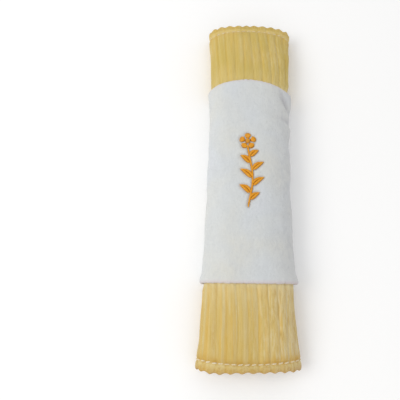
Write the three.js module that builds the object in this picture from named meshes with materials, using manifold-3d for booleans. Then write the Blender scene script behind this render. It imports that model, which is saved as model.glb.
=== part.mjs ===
// Seat belt shoulder pad: a padded plush strip wrapped into a flattened tube round the belt
// and closed underneath with hook-and-loop tape, with a white plush band round its middle.
//
// Frame: millimetres, +Z up. The pad lies on its closure side. +Y runs along the belt,
// +X across it. The origin is under the middle of the pad, on the surface it lies on.
//
// Every layer is built on one curved grid. U runs round the section, from the edge of the
// inner closure flap, round the left side, over the arch, down the right side and along the
// underside to the edge of the outer flap. V runs along the belt. W is the height above the
// outer face of the ribbed cover, positive outwards. A layer is a set of grid cells, so
// neighbouring layers always stay parallel.
import * as THREE from "three";
import { mergeVertices } from "three/addons/utils/BufferGeometryUtils.js";
import Module from "manifold-3d";

const wasm = await Module();
wasm.setup();

// ---------------------------------------------------------------- driving dimensions, mm
const LENGTH = 270; // end hem to end hem, along the belt
const HALF = LENGTH / 2;
const FLAP_EDGE_X = 9.5; // the two closure flaps overlap between -9.5 and +9.5
const FLAT_X = 20; // the underside is flat between -20 and +20
const COVER_T = 1.6; // ribbed plush, base cloth and pile
const WADDING_T = 2.2; // wadding over the arch
const WADDING_SIDE_T = 1.3; // wadding squeezed in the two side folds
const EMPTY_T = 0.3; // room between cover and lining where there is no wadding
const HEM_T = 0.9; // the same in the turned end hems
const LINING_T = 0.4;
const GAP = 0.15; // clearance between touching layers
const BAND_T = 2.0; // white plush band
const BAND_LOW_Y = -78.1; // lower free edge of the band
const BAND_HIGH_Y = 77.4; // upper free edge
const HEM_WALL = 1.5; // plush turned round the edges
const THREAD_OFF = 5.4; // hem topstitch, from the end of the pad
const THREAD_W = 0.6;
const THREAD_H = 0.5;
const TAPE_HALF = 8; // closure tapes are 16 wide
const TAPE_T = 1.0; // each, hooks or loops included
const TAPE_BASE_T = 0.4;
const TAPE_FIELD_HALF = 6.0; // half width of the field of hooks or loops
const TAPE_END_Y = 126;
const FLAP_T = COVER_T + GAP + EMPTY_T + GAP + LINING_T; // 2.6
const FLAP_RISE = FLAP_T + GAP + TAPE_T + GAP + TAPE_T + GAP; // inner flap above outer

// Stations along the belt, with the section's own sizes at each:
// a = half width, zb = underside, zc = widest level, zt = top of the arch (ribbed cover).
const PROFILE = [
  // v, a, zb, zc, zt
  [-135.0, 36.4, 0.0, 9.3, 21.7],
  [-126.0, 35.5, 0.0, 9.7, 22.5],
  [-112.0, 34.2, 0.35, 10.5, 23.9],
  [-95.0, 32.9, 1.4, 11.6, 25.5],
  [-80.0, 32.0, 2.15, 12.6, 26.9],
  [-39.0, 30.3, 2.15, 13.4, 28.5],
  [0.0, 29.6, 2.15, 13.6, 28.9],
  [39.0, 29.7, 2.15, 13.6, 28.9],
  [80.0, 31.0, 2.15, 12.9, 28.0],
  [95.0, 31.6, 1.4, 12.0, 26.8],
  [112.0, 32.6, 0.35, 10.9, 25.0],
  [126.0, 33.9, 0.0, 9.9, 23.1],
  [135.0, 34.9, 0.0, 9.3, 22.0],
];

// ---------------------------------------------------------------- the section
function profileAt(v) {
  const p = PROFILE;
  let i = 0;
  while (i < p.length - 2 && v > p[i + 1][0]) i++;
  const q = (v - p[i][0]) / (p[i + 1][0] - p[i][0]);
  const mix = (k) => p[i][k] + (p[i + 1][k] - p[i][k]) * q;
  return { a: mix(1), zb: mix(2), zc: mix(3), zt: mix(4) };
}

// The cover's outer face at region r, place q from 0 to 1 within it, for one section.
// Regions: 0 inner flap, 1 its slope, 2 lower left fold, 3 arch, 4 lower right fold, 5 underside.
function face(r, q, s) {
  const { a, zb, zc, zt } = s;
  const low = zc - zb;
  if (r === 0) return [FLAP_EDGE_X - 2 * FLAP_EDGE_X * q, zb + FLAP_RISE];
  if (r === 1) {
    const m = q * q * (3 - 2 * q);
    return [-FLAP_EDGE_X - (FLAT_X - FLAP_EDGE_X) * q, zb + FLAP_RISE * (1 - m)];
  }
  if (r === 2) {
    const f = (1 - q) * Math.PI * 0.5;
    return [-FLAT_X - (a - FLAT_X) * Math.cos(f), zc - low * Math.sin(f)];
  }
  if (r === 3) {
    const t = Math.PI * (1 - q);
    const c = Math.cos(t);
    const n = Math.sin(t);
    const full = 0.05 - 0.04 * c; // the arch is a little squarer on its left
    return [a * c, zc + (zt - zc) * n * (1 + full * Math.sin(2 * t) ** 2)];
  }
  if (r === 4) {
    const f = q * Math.PI * 0.5;
    return [FLAT_X + (a - FLAT_X) * Math.cos(f), zc - low * Math.sin(f)];
  }
  return [FLAT_X - (FLAT_X + FLAP_EDGE_X) * q, zb];
}

// Outward normal in the section's plane, from a small step either way along the face.
function facing(r, q, s) {
  const e = 1e-3;
  const p0 = face(r, Math.max(0, q - e), s);
  const p1 = face(r, Math.min(1, q + e), s);
  const d = [p1[0] - p0[0], p1[1] - p0[1]];
  const l = Math.hypot(d[0], d[1]);
  return [-d[1] / l, d[0] / l];
}

// Wadding thickness round the section; 0.3 means only slack between cover and lining.
function fillAt(r, q, v) {
  let t;
  if (r === 0) t = EMPTY_T;
  else if (r === 1) t = EMPTY_T;
  else if (r === 2) t = EMPTY_T + (WADDING_SIDE_T - EMPTY_T) * Math.min(1, q * 1.5);
  else if (r === 3) {
    const n = Math.sin(Math.PI * q);
    t = WADDING_SIDE_T + (WADDING_T - WADDING_SIDE_T) * Math.min(1, n * 1.3);
  } else if (r === 4) t = WADDING_SIDE_T;
  else {
    const x = FLAT_X - (FLAT_X + FLAP_EDGE_X) * q;
    t = x > 14 ? WADDING_SIDE_T : x > 9.5 ? EMPTY_T + ((WADDING_SIDE_T - EMPTY_T) * (x - 9.5)) / 4.5 : EMPTY_T;
  }
  const edge = HALF - Math.abs(v);
  if (edge <= 6) return Math.min(t, HEM_T);
  if (edge < 23) return Math.min(t, HEM_T + ((WADDING_T - HEM_T) * (edge - 6)) / 17 + 0.35);
  return t;
}

// A point of the curved grid. A height is a number, or a function of the wadding's thickness.
function place(r, q, v, height) {
  const at = (vv) => {
    const s = profileAt(vv);
    const [x, z] = face(r, q, s);
    const [nx, nz] = facing(r, q, s);
    const w = typeof height === "function" ? height(fillAt(r, q, vv)) : height;
    return [x + nx * w, vv, z + nz * w];
  };
  // straight between the main stations, so that every layer has the same facets
  let i = 0;
  while (i < V.length - 2 && v > V[i + 1] + 1e-9) i++;
  const a = at(V[i]);
  const b = at(V[i + 1]);
  const k = (v - V[i]) / (V[i + 1] - V[i]);
  return [a[0] + (b[0] - a[0]) * k, v, a[2] + (b[2] - a[2]) * k];
}

// ---------------------------------------------------------------- stations
// Round the section: [region, place].
const ROW_Q0 = 0.38; // the groove of the row of stitches along the band's edge, on the slope
const ROW_Q1 = 0.48;
const flapQ = (x) => (FLAP_EDGE_X - x) / (2 * FLAP_EDGE_X);
const underQ = (x) => (FLAT_X - x) / (FLAT_X + FLAP_EDGE_X);
const U = [
  [0, 0],
  [0, flapQ(8)],
  [0, 1],
  [1, 0.28],
  [1, ROW_Q0],
  [1, ROW_Q1],
  [1, 0.76],
  [2, 0],
  [2, 1 / 3],
  [2, 2 / 3],
];
for (let i = 0; i <= 12; i++) U.push([3, i / 12]);
U.push([4, 1 / 3], [4, 2 / 3], [4, 1], [5, underQ(14)], [5, underQ(9.5)], [5, underQ(-8)], [5, 1]);
const U_LAST = U.length - 1;
const U_BAND = 3; // the band starts on the slope, beside the closure

// Along the belt.
const s0 = HALF - THREAD_OFF - THREAD_W / 2;
const s1 = HALF - THREAD_OFF + THREAD_W / 2;
const V_END = [HALF, HALF - HEM_WALL, s1 + 0.2, s1, s0, s0 - 0.2, 126, 112, 95, 80];
const V = [
  ...V_END.map((v) => -v),
  BAND_LOW_Y,
  -39,
  0,
  39,
  BAND_HIGH_Y,
  ...V_END.slice().reverse(),
];
const vi = (v) => {
  const i = V.findIndex((x) => Math.abs(x - v) < 1e-6);
  if (i < 0) throw new Error("no station at " + v);
  return i;
};

// Heights, from the outside in. f is the wadding's thickness there.
const W = {
  bandTop: () => GAP + BAND_T,
  bandRowTop: () => GAP + BAND_T - 0.1,
  bandRowFoot: () => GAP + BAND_T - 0.1 - THREAD_H,
  bandGroove: () => GAP + BAND_T - 0.2 - THREAD_H,
  bandFoot: () => GAP,
  face: () => 0,
  threadTop: () => -0.1,
  threadFoot: () => -0.1 - THREAD_H,
  groove: () => -0.2 - THREAD_H,
  coverIn: () => -COVER_T,
  wadOut: () => -COVER_T - GAP,
  wadIn: (f) => -COVER_T - GAP - f,
  liningOut: (f) => -COVER_T - 2 * GAP - f,
  liningIn: (f) => -COVER_T - 2 * GAP - f - LINING_T,
  bobbinTop: (f) => -COVER_T - 2 * GAP - f - LINING_T - 0.1,
  bobbinFoot: (f) => -COVER_T - 2 * GAP - f - LINING_T - 0.5,
};

// ---------------------------------------------------------------- cells to a closed mesh
// us: [region, place] stations; vs: places along the belt; ws: heights from outside in;
// filled(i, j, k) says if the cell between stations i, i+1 and so on is material.
function meshOfCells(us, vs, ws, filled) {
  const position = [];
  const index = [];
  const seen = new Map();
  const vertex = (i, j, k) => {
    const key = (i * 1000 + j) * 100 + k;
    if (!seen.has(key)) {
      seen.set(key, position.length / 3);
      position.push(...place(us[i][0], us[i][1], vs[j], ws[k]));
    }
    return seen.get(key);
  };
  const ni = us.length - 1;
  const nj = vs.length - 1;
  const nk = ws.length - 1;
  const full = (i, j, k) =>
    i >= 0 && j >= 0 && k >= 0 && i < ni && j < nj && k < nk && filled(i, j, k);
  const quad = (a, b, c, d) => index.push(a, c, b, a, d, c);
  for (let i = 0; i < ni; i++)
    for (let j = 0; j < nj; j++)
      for (let k = 0; k < nk; k++) {
        if (!full(i, j, k)) continue;
        const p = (x, y, z) => vertex(i + x, j + y, k + z);
        if (!full(i, j, k - 1)) quad(p(0, 0, 0), p(0, 1, 0), p(1, 1, 0), p(1, 0, 0));
        if (!full(i, j, k + 1)) quad(p(0, 0, 1), p(1, 0, 1), p(1, 1, 1), p(0, 1, 1));
        if (!full(i - 1, j, k)) quad(p(0, 0, 0), p(0, 0, 1), p(0, 1, 1), p(0, 1, 0));
        if (!full(i + 1, j, k)) quad(p(1, 0, 0), p(1, 1, 0), p(1, 1, 1), p(1, 0, 1));
        if (!full(i, j - 1, k)) quad(p(0, 0, 0), p(1, 0, 0), p(1, 0, 1), p(0, 0, 1));
        if (!full(i, j + 1, k)) quad(p(0, 1, 0), p(0, 1, 1), p(1, 1, 1), p(1, 1, 0));
      }
  const g = new THREE.BufferGeometry();
  g.setAttribute("position", new THREE.Float32BufferAttribute(position, 3));
  g.setIndex(index);
  g.computeVertexNormals();
  return g;
}

const pad = new THREE.Group();
pad.name = "seat_belt_shoulder_pad";

function add(name, geometry, color, roughness) {
  const mesh = new THREE.Mesh(
    geometry,
    new THREE.MeshStandardMaterial({ color, roughness, metalness: 0 }),
  );
  mesh.name = name;
  pad.add(mesh);
}

const YELLOW = 0xdcb860;
const WHITE = 0xe6e8e4;
const ORANGE = 0xe2961c;
const CREAM = 0xf0e2bc;
const LINING_COLOUR = 0xe9dcc0;
const TAPE_COLOUR = 0xf2efe6;

// ---------------------------------------------------------------- ribbed cover
// One strip of ribbed plush. It is turned round all four edges: a wall at each edge, and at
// the two ends a lip that runs back inside to the hem's topstitch.
{
  const ws = [W.face, W.groove, W.coverIn, W.liningOut, W.liningIn];
  const vs = V.filter((v) => Math.abs(Math.abs(v) - s0) > 1e-6 && Math.abs(Math.abs(v) - s1) > 1e-6);
  const ni = U_LAST;
  add(
    "ribbed_cover",
    meshOfCells(U, vs, ws, (i, j, k) => {
      const mid = Math.abs((vs[j] + vs[j + 1]) / 2);
      if (k === 0) return !(mid > s0 - 0.2 && mid < s1 + 0.2); // groove of the topstitch
      if (k === 1) return true;
      if (mid > HALF - HEM_WALL) return true; // end wall
      if (i === 0 || i === ni - 1) return mid < HALF; // wall along each flap's edge
      return k === 3 && mid > s1 + 0.2; // lip
    }),
    YELLOW,
    0.9,
  );
}

// ---------------------------------------------------------------- wadding
{
  const us = U.slice(U.findIndex(([r]) => r === 2), U_LAST - 2); // left fold to x = 14 underneath
  const vs = V.filter((v) => Math.abs(v) <= 126);
  add(
    "wadding",
    meshOfCells(us, vs, [W.wadOut, W.wadIn], () => true),
    0xfafafa,
    1,
  );
}

// ---------------------------------------------------------------- lining
{
  const us = U.slice(1, U_LAST);
  us[0] = [0, flapQ(8 - GAP)];
  us[us.length - 1] = [5, underQ(-8 + GAP)];
  const vs = V.filter((v) => Math.abs(v) <= s0 + 1e-6);
  add(
    "lining",
    meshOfCells(us, vs, [W.liningOut, W.liningIn], () => true),
    LINING_COLOUR,
    0.8,
  );
}

// ---------------------------------------------------------------- white plush band
{
  const us = U.slice(U_BAND);
  const vs = V.filter((v) => v >= BAND_LOW_Y - 1e-6 && v <= BAND_HIGH_Y + 1e-6);
  const row = us.findIndex(([r, q]) => r === 1 && q === ROW_Q0);
  add(
    "plush_band",
    meshOfCells(us, vs, [W.bandTop, W.bandGroove, W.bandFoot], (i, j, k) => k === 1 || i !== row),
    WHITE,
    0.95,
  );
  // the row of stitches that holds the band's inner edge to the cover
  const rowVs = vs.slice();
  rowVs[0] += 0.5;
  rowVs[rowVs.length - 1] -= 0.5;
  add(
    "band_edge_thread",
    meshOfCells([[1, ROW_Q0 + 0.02], [1, ROW_Q1 - 0.02]], rowVs, [W.bandRowTop, W.bandRowFoot], () => true),
    0xf4f1e8,
    0.7,
  );
}

// ---------------------------------------------------------------- hem threads
// The topstitch of each end hem: the needle thread in its groove on the outside, the bobbin
// thread on the inside.
for (const [end, sign] of [
  ["lower", -1],
  ["upper", 1],
]) {
  const vs = sign < 0 ? [-s1, -s0] : [s0, s1];
  add(
    end + "_hem_needle_thread",
    meshOfCells(U, vs, [W.threadTop, W.threadFoot], () => true),
    CREAM,
    0.7,
  );
  add(
    end + "_hem_bobbin_thread",
    meshOfCells(U.slice(1, U_LAST), vs, [W.bobbinTop, W.bobbinFoot], () => true),
    CREAM,
    0.7,
  );
}

// ---------------------------------------------------------------- closure tapes
// The loop tape is under the inner flap, the hook tape on the outer flap's lining. Each has
// plain selvedges, where a row of stitches runs round it, and a field of loops or hooks.
{
  const xs = [TAPE_HALF, 7.3, 6.6, TAPE_FIELD_HALF, -TAPE_FIELD_HALF, -6.6, -7.3, -TAPE_HALF];
  const ends = [TAPE_END_Y, 124.6, 123.9, 123.2];
  const vs = [...ends.map((v) => -v), ...V.filter((v) => Math.abs(v) < 120), ...ends.slice().reverse()];
  const levels = [0, TAPE_BASE_T, TAPE_BASE_T + 0.1, TAPE_T - 0.1, TAPE_T];
  const isField = (i, j) => i === 3 && j >= 3 && j <= vs.length - 5;
  const isThread = (i, j) => {
    const acrossEnd = j === 1 || j === vs.length - 3;
    const along = i === 1 || i === 5;
    return (acrossEnd && i >= 1 && i <= 5) || (along && j >= 1 && j <= vs.length - 3);
  };
  // loop tape: heights run outwards from the inner flap's outer face, listed outside first
  const loopUs = xs.map((x) => [0, flapQ(x)]);
  const loopWs = levels.map((l) => () => GAP + l).reverse();
  // k counts from the outside: 0 field tip, 1 thread band, 2 gap, 3 base
  add(
    "loop_tape",
    meshOfCells(loopUs, vs, loopWs, (i, j, k) => k === 3 || isField(i, j)),
    TAPE_COLOUR,
    0.9,
  );
  add(
    "loop_tape_thread",
    meshOfCells(loopUs, vs, loopWs, (i, j, k) => k === 1 && isThread(i, j)),
    CREAM,
    0.7,
  );
  // hook tape: on the outer flap's lining, standing inwards
  const hookUs = xs.map((x) => [5, underQ(x)]);
  const hookWs = levels.map((l) => () => -FLAP_T - GAP - l);
  add(
    "hook_tape",
    meshOfCells(hookUs, vs, hookWs, (i, j, k) => k === 0 || isField(i, j)),
    TAPE_COLOUR,
    0.6,
  );
  add(
    "hook_tape_thread",
    meshOfCells(hookUs, vs, hookWs, (i, j, k) => k === 2 && isThread(i, j)),
    CREAM,
    0.7,
  );
}

// ---------------------------------------------------------------- embroidery
// A sprig in satin stitch on the band: a curved stem with paired leaves and a small bloom.
// It is drawn flat, joined into one outline, then laid on the band's curved face.
const SPRIG_FOOT = GAP + BAND_T + 0.3;
const SPRIG_T = 0.8;
const SPRIG_Y = 3.6; // middle of the sprig along the belt
const STEM_HALF = 0.7; // half width of the stem
const LEAF_WIDE = 4.5;
const BLOOM_EYE = 2.4; // radius
const PETAL = 2.6; // radius of each of the five petals
const PETAL_OUT = 4.0; // from the bloom's middle
const stemX = (t) => 2.0 * Math.sin(t * Math.PI * 1.5 - 0.6);
const stemY = (t) => -28 + 46 * t;
const LEAVES = [
  // place along the stem, side, length
  [0.1, 1, 9.4],
  [0.21, -1, 10.4],
  [0.33, 1, 11.2],
  [0.46, -1, 11.4],
  [0.59, 1, 10.8],
  [0.71, -1, 9.8],
  [0.82, 1, 8.4],
];

function slab(points) {
  const shape = new THREE.Shape(points.map(([x, y]) => new THREE.Vector2(x, y)));
  const g = new THREE.ExtrudeGeometry(shape, { depth: SPRIG_T, bevelEnabled: false });
  g.deleteAttribute("normal");
  g.deleteAttribute("uv");
  const m = mergeVertices(g, 1e-4);
  return new wasm.Manifold(
    new wasm.Mesh({
      numProp: 3,
      vertProperties: new Float32Array(m.attributes.position.array),
      triVerts: new Uint32Array(m.index.array),
    }),
  );
}

// A pointed leaf from (x, y), heading in direction angle, length long and width wide.
function leaf(x, y, angle, long, wide) {
  const c = Math.cos(angle);
  const s = Math.sin(angle);
  const side = [];
  const back = [];
  const n = 6;
  for (let i = 0; i <= n; i++) {
    const t = i / n;
    const half = (wide / 2) * Math.sin(Math.PI * Math.pow(t, 0.85)) ** 0.8;
    const along = t * long;
    const bow = 0.1 * long * Math.sin(Math.PI * t) * Math.sign(c);
    const put = (d) => [x + c * along - s * (d + bow), y + s * along + c * (d + bow)];
    if (i === 0 || i === n) side.push(put(0));
    else {
      side.push(put(-half));
      back.unshift(put(half));
    }
  }
  return slab([...side, ...back]);
}

function disc(x, y, r, n) {
  const points = [];
  for (let i = 0; i < n; i++) {
    const t = (2 * Math.PI * i) / n;
    points.push([x + r * Math.cos(t), y + r * Math.sin(t)]);
  }
  return slab(points);
}

{
  const left = [];
  const right = [];
  const n = 22;
  for (let i = 0; i <= n; i++) {
    const t = i / n;
    const dx = stemX(t + 0.01) - stemX(t - 0.01);
    const dy = stemY(t + 0.01) - stemY(t - 0.01);
    const l = Math.hypot(dx, dy);
    const h = STEM_HALF;
    left.push([stemX(t) - (dy / l) * h, stemY(t) + (dx / l) * h]);
    right.unshift([stemX(t) + (dy / l) * h, stemY(t) - (dx / l) * h]);
  }
  // the outline runs anticlockwise: up the right side, then down the left
  let flat = slab([...right.slice().reverse(), ...left.slice().reverse()]);
  for (const [t, side, long] of LEAVES) {
    const lean = Math.PI / 2 - side * 0.9;
    flat = flat.add(leaf(stemX(t), stemY(t), lean, long, LEAF_WIDE));
  }
  const bx = stemX(1);
  const by = stemY(1) + PETAL_OUT;
  flat = flat.add(disc(bx, by, BLOOM_EYE, 12));
  for (let i = 0; i < 5; i++) {
    const t = -Math.PI / 2 + Math.PI / 5 + (2 * Math.PI * i) / 5;
    flat = flat.add(disc(bx + PETAL_OUT * Math.cos(t), by + PETAL_OUT * Math.sin(t), PETAL, 12));
  }
  const m = flat.getMesh();
  const position = [];
  for (let i = 0; i < m.numVert; i++) {
    const [x, y, h] = m.vertProperties.subarray(i * m.numProp, i * m.numProp + 3);
    const v = SPRIG_Y + y;
    // distance x round the arch from its crest, as an angle of the arch
    const s = profileAt(v);
    const b = s.zt - s.zc;
    let t = Math.PI / 2;
    const step = -Math.sign(x) * 0.002;
    for (let run = 0; run < Math.abs(x) && Math.abs(x) > 1e-6; ) {
      run += Math.hypot(s.a * Math.sin(t), b * Math.cos(t)) * 0.002;
      t += step;
    }
    position.push(...place(3, 1 - t / Math.PI, v, SPRIG_FOOT + h));
  }
  const g = new THREE.BufferGeometry();
  g.setAttribute("position", new THREE.Float32BufferAttribute(position, 3));
  g.setIndex(Array.from(m.triVerts));
  g.computeVertexNormals();
  add("embroidered_sprig", g, ORANGE, 0.45);
}

export default pad;
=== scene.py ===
import math
import bpy
import numpy as np
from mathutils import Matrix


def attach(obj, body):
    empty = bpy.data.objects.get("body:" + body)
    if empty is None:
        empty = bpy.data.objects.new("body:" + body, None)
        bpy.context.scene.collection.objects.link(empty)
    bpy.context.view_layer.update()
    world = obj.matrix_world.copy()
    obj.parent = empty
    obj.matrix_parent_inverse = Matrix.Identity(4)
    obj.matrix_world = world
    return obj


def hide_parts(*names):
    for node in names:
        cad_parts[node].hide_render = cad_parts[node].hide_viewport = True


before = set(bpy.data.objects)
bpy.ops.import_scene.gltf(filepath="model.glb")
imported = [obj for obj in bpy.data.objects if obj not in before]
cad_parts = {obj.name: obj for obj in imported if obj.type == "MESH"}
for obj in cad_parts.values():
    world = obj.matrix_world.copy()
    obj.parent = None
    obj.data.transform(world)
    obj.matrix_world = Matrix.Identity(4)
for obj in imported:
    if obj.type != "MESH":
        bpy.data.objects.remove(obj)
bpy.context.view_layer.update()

# ------------------------------------------------------------------ camera
# Looks down on the pad from close by, over its lower end.
CAM_POS = np.array([-15.45, -99.05, 302.79]) * 0.001
CAM_EL, CAM_YAW, CAM_ROLL = (math.radians(a) for a in (73.4, -14.47, -12.86))
CAM_F = 393.8 / 400 * 36.0


def make_camera():
    d = np.array([
        math.sin(CAM_YAW) * math.cos(CAM_EL),
        math.cos(CAM_YAW) * math.cos(CAM_EL),
        -math.sin(CAM_EL),
    ])
    right = np.array([math.cos(CAM_YAW), -math.sin(CAM_YAW), 0.0])
    up = np.cross(right, d)
    r = right * math.cos(CAM_ROLL) + up * math.sin(CAM_ROLL)
    u = -right * math.sin(CAM_ROLL) + up * math.cos(CAM_ROLL)
    cam = bpy.data.cameras.new("camera")
    cam.sensor_fit = "HORIZONTAL"
    cam.sensor_width = 36.0
    cam.lens = CAM_F
    cam.clip_start = 0.01
    cam.clip_end = 20.0
    o = bpy.data.objects.new("camera", cam)
    bpy.context.scene.collection.objects.link(o)
    from mathutils import Matrix
    m = Matrix.Identity(4)
    for i in range(3):
        m[i][0], m[i][1], m[i][2], m[i][3] = r[i], u[i], -d[i], CAM_POS[i]
    o.matrix_world = m
    bpy.context.scene.camera = o


make_camera()

# ------------------------------------------------------------------ sizes, mm
HALF = 135.0
FLAP_X = 9.5
FLAT_X = 20.0
COVER_T = 1.6
GAP = 0.15
LINING_T = 0.4
EMPTY_T = 0.3
HEM_T = 0.9
WAD_T = 2.2
WAD_SIDE_T = 1.3
BAND_T = 2.0
BAND_LOW, BAND_HIGH = -78.1, 77.4
FLAP_T = 2.6
TAPE_T = 1.0
FLAP_RISE = FLAP_T + 2 * TAPE_T + 3 * GAP
STITCH_V = 129.6
SPRIG_V = 3.6
PROFILE = np.array([
    [-135.0, 36.4, 0.0, 9.3, 21.7],
    [-126.0, 35.5, 0.0, 9.7, 22.5],
    [-112.0, 34.2, 0.35, 10.5, 23.9],
    [-95.0, 32.9, 1.4, 11.6, 25.5],
    [-80.0, 32.0, 2.15, 12.6, 26.9],
    [-39.0, 30.3, 2.15, 13.4, 28.5],
    [0.0, 29.6, 2.15, 13.6, 28.9],
    [39.0, 29.7, 2.15, 13.6, 28.9],
    [80.0, 31.0, 2.15, 12.9, 28.0],
    [95.0, 31.6, 1.4, 12.0, 26.8],
    [112.0, 32.6, 0.35, 10.9, 25.0],
    [126.0, 33.9, 0.0, 9.9, 23.1],
    [135.0, 34.9, 0.0, 9.3, 22.0],
])


# ------------------------------------------------------------------ numbers
def smooth(a, b, x):
    t = np.clip((np.asarray(x, float) - a) / (b - a), 0.0, 1.0)
    return t * t * (3 - 2 * t)


def pchip(xk, yk, x):
    """Cubic through the knots that never overshoots them."""
    h = np.diff(xk)
    d = np.diff(yk) / h
    m = np.zeros(len(xk))
    m[0], m[-1] = d[0], d[-1]
    for i in range(1, len(xk) - 1):
        if d[i - 1] * d[i] > 0:
            w1, w2 = 2 * h[i] + h[i - 1], h[i] + 2 * h[i - 1]
            m[i] = (w1 + w2) / (w1 / d[i - 1] + w2 / d[i])
    x = np.clip(x, xk[0], xk[-1])
    i = np.clip(np.searchsorted(xk, x, side="right") - 1, 0, len(h) - 1)
    t = (x - xk[i]) / h[i]
    return (
        (2 * t**3 - 3 * t**2 + 1) * yk[i]
        + (t**3 - 2 * t**2 + t) * h[i] * m[i]
        + (-2 * t**3 + 3 * t**2) * yk[i + 1]
        + (t**3 - t**2) * h[i] * m[i + 1]
    )


def noise(x, y, cx, cy, seed):
    """Smooth noise of about unit size, with cells of cx by cy mm."""
    table = np.random.default_rng(seed).uniform(-1, 1, (256, 256))
    x, y = np.broadcast_arrays(np.asarray(x, float) / cx + 91.3, np.asarray(y, float) / cy + 77.7)
    i, j = np.floor(x).astype(int), np.floor(y).astype(int)
    fx, fy = x - i, y - j
    fx = fx * fx * fx * (fx * (fx * 6 - 15) + 10)
    fy = fy * fy * fy * (fy * (fy * 6 - 15) + 10)
    g = lambda a, b: table[a % 256, b % 256]
    return (g(i, j) * (1 - fx) + g(i + 1, j) * fx) * (1 - fy) + (g(i, j + 1) * (1 - fx) + g(i + 1, j + 1) * fx) * fy


# ------------------------------------------------------------------ the pad's section
def fine_section(v):
    """Samples round the section at each v: x, z, wadding thickness, unrolled place."""
    v = np.asarray(v, float)
    a, zb, zc, zt = (pchip(PROFILE[:, 0], PROFILE[:, k], v)[:, None] for k in (1, 2, 3, 4))
    low = zc - zb
    xs, zs, fs = [], [], []
    one = np.ones_like(a)
    q = np.linspace(0, 1, 60)[None, :]
    xs.append(one * (FLAP_X - 2 * FLAP_X * q)); zs.append(one * 0 * q + zb + FLAP_RISE); fs.append(one * (0 * q + EMPTY_T))
    q = np.linspace(0, 1, 50)[None, 1:]
    m = q * q * (3 - 2 * q)
    xs.append(one * (-FLAP_X - (FLAT_X - FLAP_X) * q)); zs.append(zb + FLAP_RISE * (1 - m)); fs.append(one * (0 * q + EMPTY_T))
    q = np.linspace(0, 1, 70)[None, 1:]
    f = (1 - q) * np.pi * 0.5
    xs.append(-FLAT_X - (a - FLAT_X) * np.cos(f)); zs.append(zc - low * np.sin(f))
    fs.append(one * (EMPTY_T + (WAD_SIDE_T - EMPTY_T) * smooth(0, 0.75, q)))
    q = np.linspace(0, 1, 361)[None, 1:]
    t = np.pi * (1 - q)
    c, n = np.cos(t), np.sin(t)
    full = 0.05 - 0.04 * c
    xs.append(a * c); zs.append(zc + (zt - zc) * n * (1 + full * np.sin(2 * t) ** 2))
    fs.append(one * (WAD_SIDE_T + (WAD_T - WAD_SIDE_T) * smooth(0, 0.85, n)))
    crest = 60 + 49 + 69 + 180 - 1
    q = np.linspace(0, 1, 70)[None, 1:]
    f = q * np.pi * 0.5
    xs.append(FLAT_X + (a - FLAT_X) * np.cos(f)); zs.append(zc - low * np.sin(f)); fs.append(one * (0 * q + WAD_SIDE_T))
    q = np.linspace(0, 1, 90)[None, 1:]
    x = FLAT_X - (FLAT_X + FLAP_X) * q
    xs.append(one * x); zs.append(one * 0 * q + zb); fs.append(one * (EMPTY_T + (WAD_SIDE_T - EMPTY_T) * smooth(9.5, 15, x)))
    X, Z, F = (np.concatenate(k, axis=1) for k in (xs, zs, fs))
    dx, dz = np.gradient(X, axis=1), np.gradient(Z, axis=1)
    S = np.concatenate([np.zeros((len(v), 1)), np.cumsum(np.hypot(np.diff(X, axis=1), np.diff(Z, axis=1)), axis=1)], axis=1)
    S = S - S[:, crest:crest + 1]
    l = np.hypot(dx, dz)
    edge = HALF - np.abs(v)[:, None]
    cap = np.where(edge < 6, HEM_T, HEM_T + (WAD_T + 0.4 - HEM_T) * smooth(6, 24, edge))
    F = np.minimum(F, cap)
    return X, Z, dx / l, dz / l, S, F


_s0 = fine_section(np.array([0.0, -100.0, 100.0]))[4]
LEFT, RIGHT = float((-_s0[:, 0]).mean()), float(_s0[:, -1].mean())  # unrolled half widths of the strip


VG = np.linspace(-HALF, HALF, 217)
PG = np.linspace(-LEFT, RIGHT, 1201)


def _grid():
    X, Z, TX, TZ, S, F = fine_section(VG)
    out = np.empty((5, len(VG), len(PG)))
    for i in range(len(VG)):
        s = np.where(S[i] < 0, S[i] * (LEFT / -S[i, 0]), S[i] * (RIGHT / S[i, -1]))
        for k, q in enumerate((X, Z, TX, TZ, F)):
            out[k, i] = np.interp(PG, s, q[i])
    return out


GRID = _grid()


def section(phi, v):
    """Place, outward normal and wadding thickness on the unrolled strip."""
    phi, v = np.broadcast_arrays(np.asarray(phi, float), np.asarray(v, float))
    p = np.clip(phi, -LEFT, RIGHT)
    fi = (np.clip(v, -HALF, HALF) + HALF) / (VG[1] - VG[0])
    fj = (p + LEFT) / (PG[1] - PG[0])
    i = np.clip(fi.astype(int), 0, len(VG) - 2)
    j = np.clip(fj.astype(int), 0, len(PG) - 2)
    a, b = fi - i, fj - j
    x, z, tx, tz, f = (
        (g[i, j] * (1 - b) + g[i, j + 1] * b) * (1 - a) + (g[i + 1, j] * (1 - b) + g[i + 1, j + 1] * b) * a for g in GRID
    )
    l = np.hypot(tx, tz)
    tx, tz = tx / l, tz / l
    over = phi - p
    return x + tx * over, z + tz * over, -tz, tx, f


# The two free ends and the band's two free edges are not cut square: each is a little skewed and bowed.
def end_skew(v, c):
    s = smooth(70, 135, np.abs(v))
    hi = -1.33 * c - 1.23 * (c * c - 0.33)
    lo = 1.38 * c + 2.78 * (c * c - 0.33)
    t = np.clip((np.abs(v) - 128.5) / 6.5, 0, 1.1)
    return s * np.where(v > 0, hi, lo) + t * np.where(v > 0, 1.05 + 1.6 * c * c, -0.05 - 1.1 * c * c - 1.25 * np.exp(-(((c + 0.62) / 0.27) ** 2)) - 0.5 * np.exp(-(((c - 0.85) / 0.14) ** 2)) + 0.35 * np.exp(-(((c - 0.2) / 0.2) ** 2)))


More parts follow.
